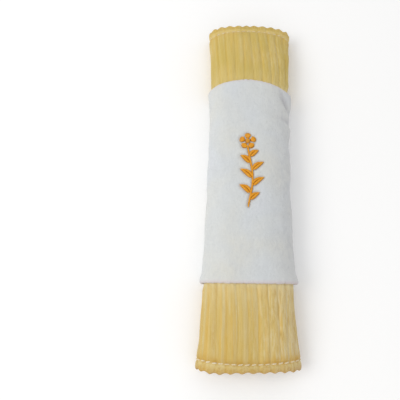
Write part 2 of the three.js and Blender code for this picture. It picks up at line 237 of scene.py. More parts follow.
def band_skew(v, c):
    hi = -2.0 * c - 4.6 * (c * c - 0.33)
    lo = 0.78 * c + 0.77 * (c * c - 0.33)
    wave = 0.26 * noise(c * 36, v, 11, 400, 35) + 0.09 * noise(c * 36, v, 3.3, 400, 36)
    return smooth(0, 78, v) * hi + smooth(0, 78, -v) * lo + wave * smooth(60, 78, np.abs(v))


SETTLED = None  # the cloth's own rise and fall over the strip, in mm, on a coarse grid


def sag(phi, v):
    """Soft rise and fall of the whole padded strip, in mm."""
    if SETTLED is None:
        return 0 * (phi + v)
    ps, vs, D = SETTLED
    fi = np.clip((v - vs[0]) / (vs[1] - vs[0]), 0, len(vs) - 1.001)
    fj = np.clip((phi - ps[0]) / (ps[1] - ps[0]), 0, len(ps) - 1.001)
    i, j = fi.astype(int), fj.astype(int)
    a, b = fi - i, fj - j
    a, b = a * a * (3 - 2 * a), b * b * (3 - 2 * b)
    return (D[i, j] * (1 - b) + D[i, j + 1] * b) * (1 - a) + (D[i + 1, j] * (1 - b) + D[i + 1, j + 1] * b) * a


def place(phi, v, w, skew, normal=False):
    """Place in mm of strip points: phi and v unrolled, w the height over the cover."""
    phi, v = np.broadcast_arrays(np.asarray(phi, float), np.asarray(v, float))
    x, z, nx, nz, f = section(phi, v)
    a = pchip(PROFILE[:, 0], PROFILE[:, 1], v)
    ww = (w(f) if callable(w) else w) + sag(phi, v)
    P = np.stack([x + nx * ww, v + skew(v, np.clip(x / a, -1, 1)), z + nz * ww], axis=-1)
    return (P, np.stack([nx, 0 * nx, nz], axis=-1)) if normal else P


def settle():
    """Blow the padded strip up as cloth between the seams that hold it, and keep how far it moved."""
    ps = np.linspace(-LEFT + 1.5, RIGHT - 1.5, 53)
    vs = np.linspace(-STITCH_V, STITCH_V, 73)
    PH, VV = np.meshgrid(ps, vs)
    P, N = place(PH, VV, 0.0 * PH, end_skew, True)
    z = P[..., 2]
    up = 10.0
    nv, nu = PH.shape
    idx = np.arange(nv * nu).reshape(nv, nu)
    quads = np.stack([idx[:-1, :-1], idx[:-1, 1:], idx[1:, 1:], idx[1:, :-1]], -1).reshape(-1, 4)
    me = bpy.data.meshes.new("settling")
    me.from_pydata((P.reshape(-1, 3) * 0.001 * up).tolist(), [], quads.tolist())
    me.update()
    o = bpy.data.objects.new("settling", me)
    bpy.context.scene.collection.objects.link(o)
    # held at the stitched ends, along both closure flaps and where it lies on the table
    held = np.maximum(1 - smooth(0, 3, HALF - 5.4 - np.abs(VV)), 1 - smooth(0, 4, np.minimum(PH + LEFT - 1.5, RIGHT - 1.5 - PH)))
    held = np.maximum(held, smooth(4.5, 2.6, z))
    held = np.maximum(held, 0.35 * smooth(BAND_LOW - 2, BAND_LOW + 2, VV) * smooth(BAND_HIGH + 2, BAND_HIGH - 2, VV))
    ring = np.exp(-(((VV - BAND_LOW - 3) / 3.0) ** 2)) + np.exp(-(((VV - BAND_HIGH + 3) / 3.0) ** 2))
    held = np.clip(np.maximum(held, 0.7 * ring), 0, 1).ravel()
    group = o.vertex_groups.new(name="held")
    for k, w in enumerate(held):
        if w > 0.01:
            group.add([k], float(w), "REPLACE")
    # a little more cloth than the span it covers, unevenly, as sewn plush has
    mod = o.modifiers.new("settling", "CLOTH")
    c = mod.settings
    c.quality = 6
    c.mass = 0.3
    c.tension_stiffness = c.compression_stiffness = 12
    c.shear_stiffness = 6
    c.bending_stiffness = 0.6
    c.tension_damping = c.compression_damping = 8
    c.air_damping = 1.5
    c.vertex_group_mass = "held"
    c.pin_stiffness = 1.0
    c.shrink_min = SHRINK
    c.use_pressure = True
    c.uniform_pressure_force = PRESSURE
    c.effector_weights.gravity = 0
    mod.collision_settings.use_collision = False
    mod.point_cache.frame_start, mod.point_cache.frame_end = 1, 20
    scene = bpy.context.scene
    # soft uneven start, so that the slack has somewhere to go
    start = (P + N * (0.35 * noise(PH, VV, 10, 17, 13) + 0.15 * noise(PH, VV, 5, 8, 14))[..., None]).reshape(-1, 3)
    free = (1 - held)[:, None]
    me.vertices.foreach_set("co", ((P.reshape(-1, 3) * (1 - free) + start * free) * 0.001 * up).astype(np.float32).ravel())
    me.update()
    for f in range(1, 21):
        scene.frame_set(f)
    dg = bpy.context.evaluated_depsgraph_get()
    got = o.evaluated_get(dg).to_mesh()
    Q = np.empty(len(me.vertices) * 3, np.float32)
    got.vertices.foreach_get("co", Q)
    o.evaluated_get(dg).to_mesh_clear()
    scene.frame_set(1)
    bpy.data.objects.remove(o, do_unlink=True)
    bpy.data.meshes.remove(me)
    D = ((Q.reshape(nv, nu, 3) * 1000 / up - P) * N).sum(-1)
    # only the uneven part is kept: the section already has the pad's fullness
    smoothed = D.copy()
    for _ in range(60):
        smoothed[1:-1, 1:-1] = 0.25 * (smoothed[:-2, 1:-1] + smoothed[2:, 1:-1] + smoothed[1:-1, :-2] + smoothed[1:-1, 2:])
    D = D - 0.85 * smoothed
    for _ in range(2):
        D[1:-1, 1:-1] = 0.5 * D[1:-1, 1:-1] + 0.125 * (D[:-2, 1:-1] + D[2:, 1:-1] + D[1:-1, :-2] + D[1:-1, 2:])
    D = 0.85 * np.tanh(D / 0.85) * (1 - smooth(0.9, 1.0, held.reshape(nv, nu)))
    return ps, vs, D


def on_floor(P, low=0.03):
    """The underside is pressed flat where it lies."""
    z = P[..., 2]
    k = 0.35
    P[..., 2] = low + np.where(z - low > k, z - low, np.where(z - low < -k, 0, (z - low + k) ** 2 / (4 * k)))
    return P


# ------------------------------------------------------------------ meshes
def finish_mesh(name, verts, quads, tris=None, uvs=None, attrs=None, smooth_faces=True):
    quads = np.asarray(quads, np.int32).reshape(-1, 4)
    tris = np.zeros((0, 3), np.int32) if tris is None else np.asarray(tris, np.int32).reshape(-1, 3)
    me = bpy.data.meshes.new(name)
    me.vertices.add(len(verts))
    me.vertices.foreach_set("co", (np.asarray(verts) * 0.001).astype(np.float32).ravel())
    loops = np.concatenate([quads.ravel(), tris.ravel()])
    me.loops.add(len(loops))
    me.loops.foreach_set("vertex_index", loops)
    me.polygons.add(len(quads) + len(tris))
    start = np.concatenate([np.arange(len(quads)) * 4, len(quads) * 4 + np.arange(len(tris)) * 3]).astype(np.int32)
    me.polygons.foreach_set("loop_start", start)
    me.update(calc_edges=True)
    me.validate()
    if smooth_faces:
        me.shade_smooth()
    for key, data in (uvs or {}).items():
        layer = me.uv_layers.new(name=key)
        layer.data.foreach_set("uv", np.asarray(data, np.float32)[loops].ravel() if len(data) == len(verts) else np.asarray(data, np.float32).ravel())
    for key, data in (attrs or {}).items():
        a = me.attributes.new(key, "FLOAT", "POINT")
        a.data.foreach_set("value", np.asarray(data, np.float32))
    o = bpy.data.objects.new(name, me)
    bpy.context.scene.collection.objects.link(o)
    return o


def signed_volume(V, quads, tris):
    t = np.concatenate([quads[:, [0, 1, 2]], quads[:, [0, 2, 3]], tris])
    a, b, c = V[t[:, 0]], V[t[:, 1]], V[t[:, 2]]
    return float((a * np.cross(b, c)).sum() / 6)


def tray(name, phis, vs, spot, rings, inner, tags=None):
    """A thick sheet with rounded, turned-in edges, as one closed mesh.

    phis, vs: odd-length stations of the outer face. spot(phi, v, k) gives places of a (n, m) grid, where k is
    None on the outer face. rings: functions (bphi, bv, dphi, dv) -> (phi, v, extra) for each ring round the rim,
    from the outer face round to the inner one. inner: the same for the inner face's own grid.
    """
    nv, nu = len(vs), len(phis)
    assert nv % 2 == 1 and nu % 2 == 1
    PH, VV = np.meshgrid(phis, vs)
    V = [spot(PH, VV, None).reshape(-1, 3)]
    A = [np.stack([PH.ravel(), VV.ravel()], 1)]  # unrolled places
    idx = np.arange(nv * nu).reshape(nv, nu)
    quads = [np.stack([idx[:-1, :-1], idx[:-1, 1:], idx[1:, 1:], idx[1:, :-1]], -1).reshape(-1, 4)]
    # rim, anticlockwise from the low left corner
    loop = np.concatenate([idx[0, :-1], idx[:-1, -1], idx[-1, :0:-1], idx[:0:-1, 0]])
    bphi, bv = PH.ravel()[loop], VV.ravel()[loop]
    dphi, dv = np.zeros(len(loop)), np.zeros(len(loop))
    dv[:nu] = -1
    k0 = nu - 1
    dphi[k0:k0 + nv] = 1
    k1 = k0 + nv - 1
    dv[k1:k1 + nu] = 1
    k2 = k1 + nu - 1
    dphi[k2:] = -1
    dphi[0] = -1
    base = len(V[0])
    prev = loop
    n = len(loop)
    for ring in rings:
        phi, v, spread, pos = ring(bphi, bv, dphi, dv)
        V.append(pos)
        A.append(np.stack([bphi + dphi * spread, bv + dv * spread], 1))
        cur = base + np.arange(n)
        base += n
        quads.append(np.stack([prev, cur, np.roll(cur, -1), np.roll(prev, -1)], -1))
        prev = cur
        last = (phi, v)
    # inner face, half as many stations
    iphi, iv, ipos = inner(phis[::2], vs[::2])
    mu, mv = len(phis[::2]), len(vs[::2])
    V.append(ipos.reshape(-1, 3))
    ib = base + np.arange(mu * mv).reshape(mv, mu)
    n_outer = sum(len(q) for q in quads)
    quads.append(np.stack([ib[:-1, :-1], ib[1:, :-1], ib[1:, 1:], ib[:-1, 1:]], -1).reshape(-1, 4))
    c0 = np.concatenate([ib[0, :-1], ib[:-1, -1], ib[-1, :0:-1], ib[:0:-1, 0]])
    c1 = np.roll(c0, -1)
    f0, f1, f2 = prev[0::2], prev[1::2], np.roll(prev[0::2], -1)
    tris = np.concatenate([np.stack([f0, c0, f1], 1), np.stack([c0, c1, f1], 1), np.stack([f1, c1, f2], 1)])
    quads = np.concatenate(quads)
    V = np.concatenate(V)
    A = np.concatenate(A)
    Bc = np.zeros((len(V), 2))
    Bc[prev[0]:prev[0] + n] = np.stack(last, 1)
    Bc[ib.ravel()] = np.stack([iphi.ravel(), iv.ravel()], 1)
    Af = np.zeros((len(V), 2))
    Af[:len(A)] = A
    if signed_volume(V * 0.01, quads, tris) < 0:
        quads, tris = quads[:, ::-1], tris[:, ::-1]
    # flat layout: outer face and rim at full size, inner face small beside it
    lo, hi = A.min(0), A.max(0)
    size = hi - lo
    k = 0.34
    unit = max(size[1], size[0] + k * size[0] + 6) * 1.02
    fl = np.concatenate([quads.ravel(), tris.ravel()])
    inside = np.concatenate([np.repeat(np.arange(len(quads)) >= n_outer, 4), np.ones(tris.size, bool)])[:, None]
    uv = np.where(inside, ((Bc[fl] - lo) * k + np.array([size[0] + 5.0, 1.0])) / unit, (Af[fl] - lo + 1.0) / unit)
    fab = np.where(inside, Bc[fl], Af[fl]) * 0.01
    attrs = {}
    for key, fn in (tags or {}).items():
        val = np.zeros(len(V))
        val[:len(A)] = fn(A[:, 0], A[:, 1])
        attrs[key] = val
    return finish_mesh(name, V, quads, tris, {"OFBake": uv, "fabric": fab}, attrs)


def tubes(C, N, R, sides=6, flat=1.0):
    """Closed round threads: centre lines C (k, n, 3), a normal N (k, n, 3) and radii R (n,) or (k, n)."""
    C = np.asarray(C, float)
    k, n, _ = C.shape
    T = np.gradient(C, axis=1)
    T /= np.linalg.norm(T, axis=-1, keepdims=True) + 1e-12
    B = np.cross(T, N)
    B /= np.linalg.norm(B, axis=-1, keepdims=True) + 1e-12
    M = np.cross(B, T)
    R = np.broadcast_to(R, (k, n))[..., None, None]
    ang = np.arange(sides) * 2 * np.pi / sides
    V = C[:, :, None, :] + R * (np.cos(ang)[None, None, :, None] * B[:, :, None, :] + flat * np.sin(ang)[None, None, :, None] * M[:, :, None, :])
    idx = np.arange(k * n * sides).reshape(k, n, sides)
    nx = np.roll(idx, -1, axis=2)
    q = np.stack([idx[:, :-1], nx[:, :-1], nx[:, 1:], idx[:, 1:]], -1).reshape(-1, 4)
    t = []
    for s in range(1, sides - 1):
        t.append(np.stack([idx[:, 0, 0], idx[:, 0, s + 1], idx[:, 0, s]], -1))
        t.append(np.stack([idx[:, -1, 0], idx[:, -1, s], idx[:, -1, s + 1]], -1))
    return V.reshape(-1, 3), q, np.concatenate(t)


def merge(parts):
    V, Q, T, base = [], [], [], 0
    for v, q, t in parts:
        V.append(v)
        Q.append(q + base)
        T.append(t + base)
        base += len(v)
    return np.concatenate(V), np.concatenate(Q), np.concatenate(T)


SHRINK, PRESSURE = -0.012, 2.0
SETTLED = settle()

# ------------------------------------------------------------------ ribbed cover
RIB = 7.2
RIB_PHASE = 1.0


def wobble(c, v):
    """How far the ribs wander sideways from straight."""
    fade = smooth(-LEFT, -LEFT + 12, c) * smooth(RIGHT, RIGHT - 12, c)
    squeeze = -0.045 * np.clip(c, -50, 50) * smooth(-60, -110, v) * smooth(75, 50, np.abs(c))
    slant = -(1.2 + 2.3 * smooth(-6, 12, c)) * smooth(82, 132, v) * smooth(75, 45, np.abs(c))
    over = (1.75 * smooth(34, 14, c) - 0.45) * smooth(-60, -115, v)
    return fade * (over - 0.4 - 1.4 * v / 135 + 0.42 * noise(c, v, 16, 34, 21) + 0.20 * noise(c, v, 6, 13, 22) + squeeze + slant)


def ridge(c):
    x = (c - RIB_PHASE) / RIB
    x = x - np.round(x)
    return 1 - np.abs(2 * x) ** 3.0


def scallop(c, v):
    """How far each rib's end stands out of the hem: round tips with wider hollows between."""
    x = (c - RIB_PHASE) / RIB
    tip = 0.5 + 0.5 * np.cos(2 * np.pi * x)
    return np.where(v < 0, -0.45 + 1.05 * tip**1.3, -0.50 + 1.25 * tip) + 0.22 * noise(c, v, 5, 5, 26)


def lay(c):
    """Where the pile of a rib lies away from the light: the far flank of each rib."""
    x = (c - RIB_PHASE) / RIB
    x = x - np.round(x)
    return smooth(-0.08, 0.12, x) * smooth(0.47, 0.33, x)


def rib_top(c, v):
    """Height of the ribbed face over the mean cover surface, at column c of the cloth."""
    amp = 0.72 * (1 + 0.18 * noise(c, v, RIB, 22, 23)) * (1 - 0.30 * smooth(-70, -100, v) * smooth(22, -4, c))
    r = ridge(c)
    full = np.where(c > 0, 1.9, 1.1) * np.exp(-(((np.abs(c) - 44) / 12) ** 2)) * smooth(77, 84, v) * smooth(126, 108, v)
    full = full + 1.3 * np.exp(-(((c + 46) / 10) ** 2)) * smooth(-78.5, -84, v) * smooth(-118, -100, v)
    h = full - 0.46 + amp * r + 0.03 * noise(c, v, 1.3, 2.2, 24) + 0.13 * noise(c, v, 2.4, 13, 25) + 0.06 * noise(c, v, 1.7, 5, 27)
    d = np.abs(np.abs(v) - STITCH_V)
    pinch = np.exp(-((d / 1.1) ** 2))
    roll = smooth(STITCH_V + 0.3, STITCH_V + 2.0, np.abs(v))
    lumps = 0.12 * noise(c, v, 3.0, 4, 37) + np.where(v < 0, 0.14, 0.05) * noise(c, v, 1.9, 1.9, 42)
    h = h * (1 - roll) + (0.02 + 0.34 * (r - 0.7) + lumps) * roll
    deep = np.where(v > 0, -0.75, -1.0)
    # under the band the ribs give way to its creases
    h = np.where((v > BAND_LOW) & (v < BAND_HIGH), np.maximum(np.minimum(h, 1.15 + np.minimum(dents(c, v), 0)), -1.2), h)
    return h * (1 - pinch) + (deep + 0.36 * r + 0.10 * noise(c, v, 2.1, 9, 38)) * pinch


def build_cover():
    T_END, T_FLAP = 3.2, 2.5
    r_end, r_flap = 1.75, 1.2
    n = 16
    lo, hi = -LEFT + r_flap, RIGHT - r_flap
    # stations exactly on each rib's crest and grooves, sixteen to a rib
    k0, k1 = math.ceil((lo - RIB_PHASE) / RIB * n), math.floor((hi - RIB_PHASE) / RIB * n)
    phis = RIB_PHASE + np.arange(k0, k1 + 1) * RIB / n
    phis = np.concatenate([[lo], phis[(phis > lo + 0.15) & (phis < hi - 0.15)], [hi]])
    if len(phis) % 2 == 0:
        phis = np.concatenate([phis[:1], [(phis[0] + phis[1]) / 2], phis[1:]])
    end = HALF - r_end
    half = np.concatenate([np.arange(0, 74, 3.1), np.arange(74, 124, 1.55), np.arange(124, end - 0.15, 0.42), [end]])
    vs = np.concatenate([-half[::-1], half[1:]])

    def spot(PH, VV, k):
        return on_floor(place(PH + wobble(PH, VV), VV, rib_top(PH, VV), end_skew))

    def at(phi, v, w):
        return on_floor(place(phi, v, w, end_skew))

    def ring(theta=None, lip=None, w_in=None):
        def make(bphi, bv, dphi, dv):
            on_end = np.abs(dv)
            corner = np.abs(dv) * np.abs(dphi)
            T = np.where(on_end > 0, T_END, T_FLAP) * (1 - 0.12 * corner)
            mix = smooth(0, 9, np.minimum(bphi + LEFT, RIGHT - bphi))
            T = np.where((on_end > 0) & (mix < 1), T_FLAP + (T - T_FLAP) * mix, T)
            r = np.where(on_end > 0, r_end, r_flap)
            shrink = 1 - 0.25 * corner
            top = rib_top(bphi, bv)
            wob = wobble(bphi, bv)
            rel = top
            proud = np.where(on_end > 0, scallop(bphi, bv), top)
            if theta is not None:
                s, c = math.sin(theta), math.cos(theta)
                fade = max(0.0, 1 - (theta / math.pi) ** 2)
                relf = rel * fade
                out = (r * s + np.maximum(proud, -1.0) * s * (0.35 + 0.65 * fade)) * shrink
                w = -T / 2 * (1 - c) + relf * c
                phi = bphi + wob * fade + dphi * out
                v = bv + dv * out
                return phi, v, r * theta, at(phi, v, w)
            s_phi, s_v = lip
            fphi = 1 - s_phi / ((LEFT + RIGHT) / 2 - r_flap)
            fv = 1 - s_v / end
            mid = (RIGHT - LEFT) / 2
            phi = mid + (bphi - mid) * fphi
            v = bv * fv
            w = -T if w_in is None else np.full_like(bphi, w_in)
            return phi, v, r * math.pi + (s_v if on_end.max() else s_phi), at(phi, v, w)
        return make

    rings = [ring(theta=math.pi * t) for t in (0.14, 0.3, 0.46, 0.6, 0.74, 0.88, 1.0)]
    rings += [ring(lip=(0.8, 3.0)), ring(lip=(1.0, 3.6), w_in=-1.5)]

    def inner(p, v):
        mid = (RIGHT - LEFT) / 2
        fphi = 1 - 1.8 / ((LEFT + RIGHT) / 2 - r_flap)
        fv = 1 - 5.0 / end
        PH, VV = np.meshgrid(mid + (p - mid) * fphi, v * fv)
        return PH, VV, on_floor(place(PH, VV, np.full(PH.shape, -1.5), end_skew), 0.5)

    tags = {
        "ridge": lambda p, v: np.clip(ridge(p), 0, 1),
        "lay": lambda p, v: lay(p),
        # painted shade: darker caramel towards the rolled rim of each hem
        "hem": lambda p, v: np.where(v < 0, (0.38 * smooth(130.8, 134.4, -v) + 0.36 * smooth(134.2, 135.8, -v)) * (1 - 0.65 * smooth(136.4, 138.4, -v)), 0.16 * smooth(131.0, 132.4, v) + 0.20 * smooth(135.6, 137.6, v)),
        # the right flank: stronger pile streaks there, whose pale streaks are painted sheen
        "right": lambda p, v: smooth(-12, 26, p) * smooth(54, 44, p),
        "low": lambda p, v: smooth(-50, -95, v) * (0.25 + 0.75 * smooth(30, -18, p)) + 0.9 * smooth(-129.6, -131.5, v),
        "on_hem": lambda p, v: smooth(STITCH_V - 0.4, STITCH_V + 0.6, np.abs(v)) * (1 - 0.6 * smooth(135.5, 138, np.abs(v))) * np.where(v > 0, 0.5, 1.0),
        "tuft": lambda p, v: np.exp(-(((np.abs(v) - STITCH_V - 0.9) / 0.9) ** 2)) * smooth(-0.35, 0.45, noise(p, v, 2.3, 1.6, 43)) * np.where(v > 0, 0.5, 1.0),
        "hem_pale": lambda p, v: np.where(v < 0, smooth(STITCH_V + 0.4, STITCH_V + 1.4, -v) * smooth(134.2, 132.0, -v), 1.5 * np.exp(-(((v - STITCH_V - 0.3) / 1.3) ** 2))) * (0.7 + 0.4 * noise(p, v, 2.2, 3, 28)),
        # painted shade: darker gold beside the hem seams, where the stitching pinches the ribs down
        "stitch": lambda p, v: np.where(np.abs(v) < STITCH_V, np.exp(-(((np.abs(v) - STITCH_V) / 3.8) ** 2)), np.exp(-(((np.abs(v) - STITCH_V) / 0.8) ** 2))) * np.clip(0.78 + 0.55 * noise(p, v, 3.4, 9, 29), 0, 1.1) * np.where(v > 0, 0.32, 1.0),
        # painted sheen: the pile paler and greyer low on the right flank, where it is seen at a grazing angle
        "painted_sheen": lambda p, v: smooth(2, 34, p) * smooth(60, 47, p) * smooth(-40, -85, v) * (0.75 + 0.35 * noise(p, v, 5, 14, 39)),
        "rich": lambda p, v: smooth(40, 90, v) * (1 - 0.7 * smooth(48, 60, np.abs(p))) * (0.8 + 0.3 * noise(p, v, 9, 14, 40)),
        # painted shade: a brownish tint down the cover's side walls, stronger on the right
        "side": lambda p, v: np.exp(-(((np.abs(p) - 47) / 5.5) ** 2)) * np.where(p > 0, 1.5, 0.8),
        # paler pile beside the band's hems: white fibres of the hem lying over the yellow, and painted light that lifts
        # the band's contact shadow
        "by_band": lambda p, v: np.clip(np.where(
            v < 0,
            0.34 * smooth(BAND_LOW - 22, BAND_LOW - 1, v + 7 * noise(p, v, 2.2, 40, 45)) + 0.50 * smooth(BAND_LOW - 3.2, BAND_LOW - 0.6, v),
            0.20 * smooth(BAND_HIGH + 20, BAND_HIGH + 1, v) + 0.22 * smooth(BAND_HIGH + 2.6, BAND_HIGH + 0.6, v),
        ) * (1 + 0.35 * noise(p, v, 1.6, 4, 44)), 0, 1),
    }
    return tray("ribbed_cover", phis, vs, spot, rings, inner, tags)


# ------------------------------------------------------------------ plush band
BAND_L = -(LEFT - 19.0 - 3.4)  # the band starts on the slope beside the closure
BAND_R = RIGHT


def flare(phi, v):
    """The band's free hems stand a little off the cover."""
    lo = np.exp(-(((v - BAND_LOW - 2.2) / 3.6) ** 2))
    hi = np.exp(-(((v - BAND_HIGH + 2.0) / 3.6) ** 2))
    side = np.exp(-(((np.abs(phi) - 46) / 14) ** 2))
    arch = smooth(-74, -56, phi) * smooth(74, 56, phi)
    return arch * (lo * (0.75 + np.where(phi > 0, 1.35, 0.8) * side) + hi * (0.55 + 0.55 * side))


def dents(phi, v):
    """Soft hollows and creases in the plush."""
    d = np.zeros(np.broadcast(phi, v).shape)
    for p0, v0, lp, lv, turn, deep in (
        (29.5, 66.5, 9.0, 3.5, -0.94, -2.0),
        (34.5, 70.5, 7, 3.6, -0.94, 1.1),
        (42, 57.5, 4, 3.2, 0.0, -1.5),
        (30, 50.5, 10, 3.2, 0.1, -1.2),
        (36, 44, 9, 4.0, 0.1, 0.9),
        (38, 30, 7, 5, -0.3, -0.6),
        (-42, 52, 6, 9, 0.0, -0.9),
        (-43, 66, 5, 4, 0.0, 0.4),
        (40, -10, 8, 10, 0.2, -0.6),
        (30, 12, 6, 14, 0.15, 0.35),
        (-38, 38, 6, 12, -0.2, -0.35),
        (-48, -6, 9, 26, 0.0, 1.25),
        (-30, -24, 6, 14, 0.1, -0.35),
        (-20, 60, 10, 6, 0.2, 0.3),
        (34, -48, 9, 12, -0.25, -0.5),
        (4, -46, 12, 9, 0.1, 0.3),
    ):
        c, s = math.cos(turn), math.sin(turn)
        a = ((phi - p0) * c + (v - v0) * s) / lp
        b = (-(phi - p0) * s + (v - v0) * c) / lv
        d = d + deep * np.exp(-(a * a + b * b))
    return d


def pile(phi, v):
    """Clumps of short plush."""
    lean = 0.5 * noise(phi, v, 7, 7, 31)
    a = noise(phi + lean, v, 1.05, 1.7, 32)
    b = noise(phi - lean, v, 0.62, 0.95, 33)
    c = noise(phi, v, 3.4, 6.0, 34)
    return 0.10 * a + 0.10 * b + 0.09 * c


SPRIG_PTS = []  # filled by the sprig's own drawing, before the band is built


def pressed(phi, v):
    """The embroidery pulls the plush down round itself."""
    out = np.zeros(phi.shape)
    if not SPRIG_PTS:
        return out
    pts = np.concatenate(SPRIG_PTS)
    m = (np.abs(phi) < 16) & (v > SPRIG_V - 34) & (v < SPRIG_V + 36)
    q = np.stack([phi[m], v[m]], -1)
    best = np.full(len(q), 1e9)
    for i in range(0, len(pts), 400):
        d = ((q[:, None, :] - pts[None, i:i + 400]) ** 2).sum(-1).min(1)
        best = np.minimum(best, d)
    out[m] = np.exp(-((np.sqrt(best) / 1.1) ** 2))
    return out


def build_band():
    T = 2.0
    r_end, r_side = 1.5, 1.0
    lo, hi = BAND_L + r_side, BAND_R - r_side
    nu = 2 * int((hi - lo) / 0.56 / 2) + 1
    phis = np.linspace(lo, hi, nu)
    a, b = BAND_LOW + r_end, BAND_HIGH - r_end
    nv = 2 * int((b - a) / 0.6 / 2) + 1
    vs = np.linspace(a, b, nv)

    def top(phi, v):
        press = pressed(phi, v)
        side = smooth(BAND_L, BAND_L + 4, phi) * smooth(BAND_R, BAND_R - 4, phi)
        return GAP + BAND_T + flare(phi, v) + dents(phi, v) + pile(phi, v) * (1 - 0.75 * press) * (0.35 + 0.65 * side) - 0.75 * press

    def at(phi, v, w):
        return on_floor(place(phi, v, w, band_skew), 0.02)

    def spot(PH, VV, k):
        return at(PH, VV, top(PH, VV))

    midp, midv = (BAND_L + BAND_R) / 2, (BAND_LOW + BAND_HIGH) / 2

    def ring(theta=None, lip=None):
        def make(bphi, bv, dphi, dv):
            on_end = np.abs(dv)
            corner = np.abs(dv) * np.abs(dphi)
            r = np.where(on_end > 0, r_end, r_side)
            base = GAP + BAND_T + flare(bphi, bv) + np.minimum(dents(bphi, bv), 0) * 0.5
            rel = pile(bphi, bv)
            thick = np.where(on_end > 0, T + 0.9, T)
            if theta is not None:
                s, c = math.sin(theta), math.cos(theta)
                out = (r * s + rel * s * 1.2 + 0.20 * s * noise(bphi, bv, 1.1, 1.1, 41)) * (1 - 0.25 * corner)
                w = base - thick / 2 * (1 - c) + rel * c * (1 if c > 0 else 0.3)
                phi, v = bphi + dphi * out, bv + dv * out
                return phi, v, r * theta, at(phi, v, w)
            fphi = 1 - lip[0] / ((BAND_R - BAND_L) / 2 - r_side)
            fv = 1 - lip[1] / ((BAND_HIGH - BAND_LOW) / 2 - r_end)
            phi, v = midp + (bphi - midp) * fphi, midv + (bv - midv) * fv
            w = base - thick if lip[2] is None else np.maximum(lip[2] + flare(bphi, bv) * 0.8, GAP)
            return phi, v, r * math.pi + lip[1], at(phi, v, w)
        return make

    rings = [ring(theta=math.pi * t) for t in (0.12, 0.26, 0.4, 0.54, 0.68, 0.84, 1.0)]
    rings += [ring(lip=(0.8, 2.2, None))]

    def inner(p, v):
        PH, VV = np.meshgrid(midp + (p - midp) * 0.985, midv + (v - midv) * 0.955)
        w = np.minimum(GAP + 0.25 + 0.6 * flare(PH, VV), top(PH, VV) - 0.7)
        P = place(PH, VV, w, band_skew)
        return PH, VV, on_floor(P, 0.6)

    tags = {
        "edge": lambda p, v: np.maximum(1 - smooth(0, 3.2, v - BAND_LOW), 0.7 * (1 - smooth(0, 3.2, BAND_HIGH - v))),
        "clump": lambda p, v: pile(p, v),
        "press": lambda p, v: pressed(p, v),
        # painted shade: the band's right side, turned from the light, greyer and with grey mottling
        "far": lambda p, v: smooth(6, 36, p) * (1 - 0.8 * smooth(44, 58, p)),
        # painted shade in the plush's dents and creases
        "crease_shade": lambda p, v: np.clip(-dents(p, v) - 0.35, 0, 1.5) / 1.5,
    }
    return tray("plush_band", phis, vs, spot, rings, inner, tags)


# ------------------------------------------------------------------ sprig
STEM_HALF = 0.7
LEAF_WIDE = 4.5
BLOOM_EYE, PETAL, PETAL_OUT = 2.4, 2.6, 4.0
LEAVES = [(0.1, 1, 9.4), (0.21, -1, 10.4), (0.33, 1, 11.2), (0.46, -1, 11.4), (0.59, 1, 10.8), (0.71, -1, 9.8), (0.82, 1, 8.4)]
THREAD = 0.19  # thread radius
PITCH = 0.36


def stem_at(t):
    return 2.0 * np.sin(t * np.pi * 1.5 - 0.6), -28 + 46 * t


def satin(A, B, lift, dip=0.5, seed=0):
    """Threads from A to B (k, 2) laid side by side over the band, arched to height lift (k,)."""
    k = len(A)
    s = np.linspace(0, 1, 8)[None, :, None]
    r = np.random.default_rng(seed).uniform(-1, 1, (k, 4))
    A = A + 0.05 * r[:, :2]
    B = B + 0.05 * r[:, 2:]
    P = A[:, None, :] * (1 - s) + B[:, None, :] * s
    SPRIG_PTS.append(P.reshape(-1, 2) + np.array([0, SPRIG_V]))
    arch = np.sin(np.pi * s[..., 0]) ** 0.55
    w = GAP + BAND_T - 0.35 + arch * (np.asarray(lift)[:, None] + dip * 0.5) - dip * (1 - arch)
    return P[..., 0], P[..., 1] + SPRIG_V, w


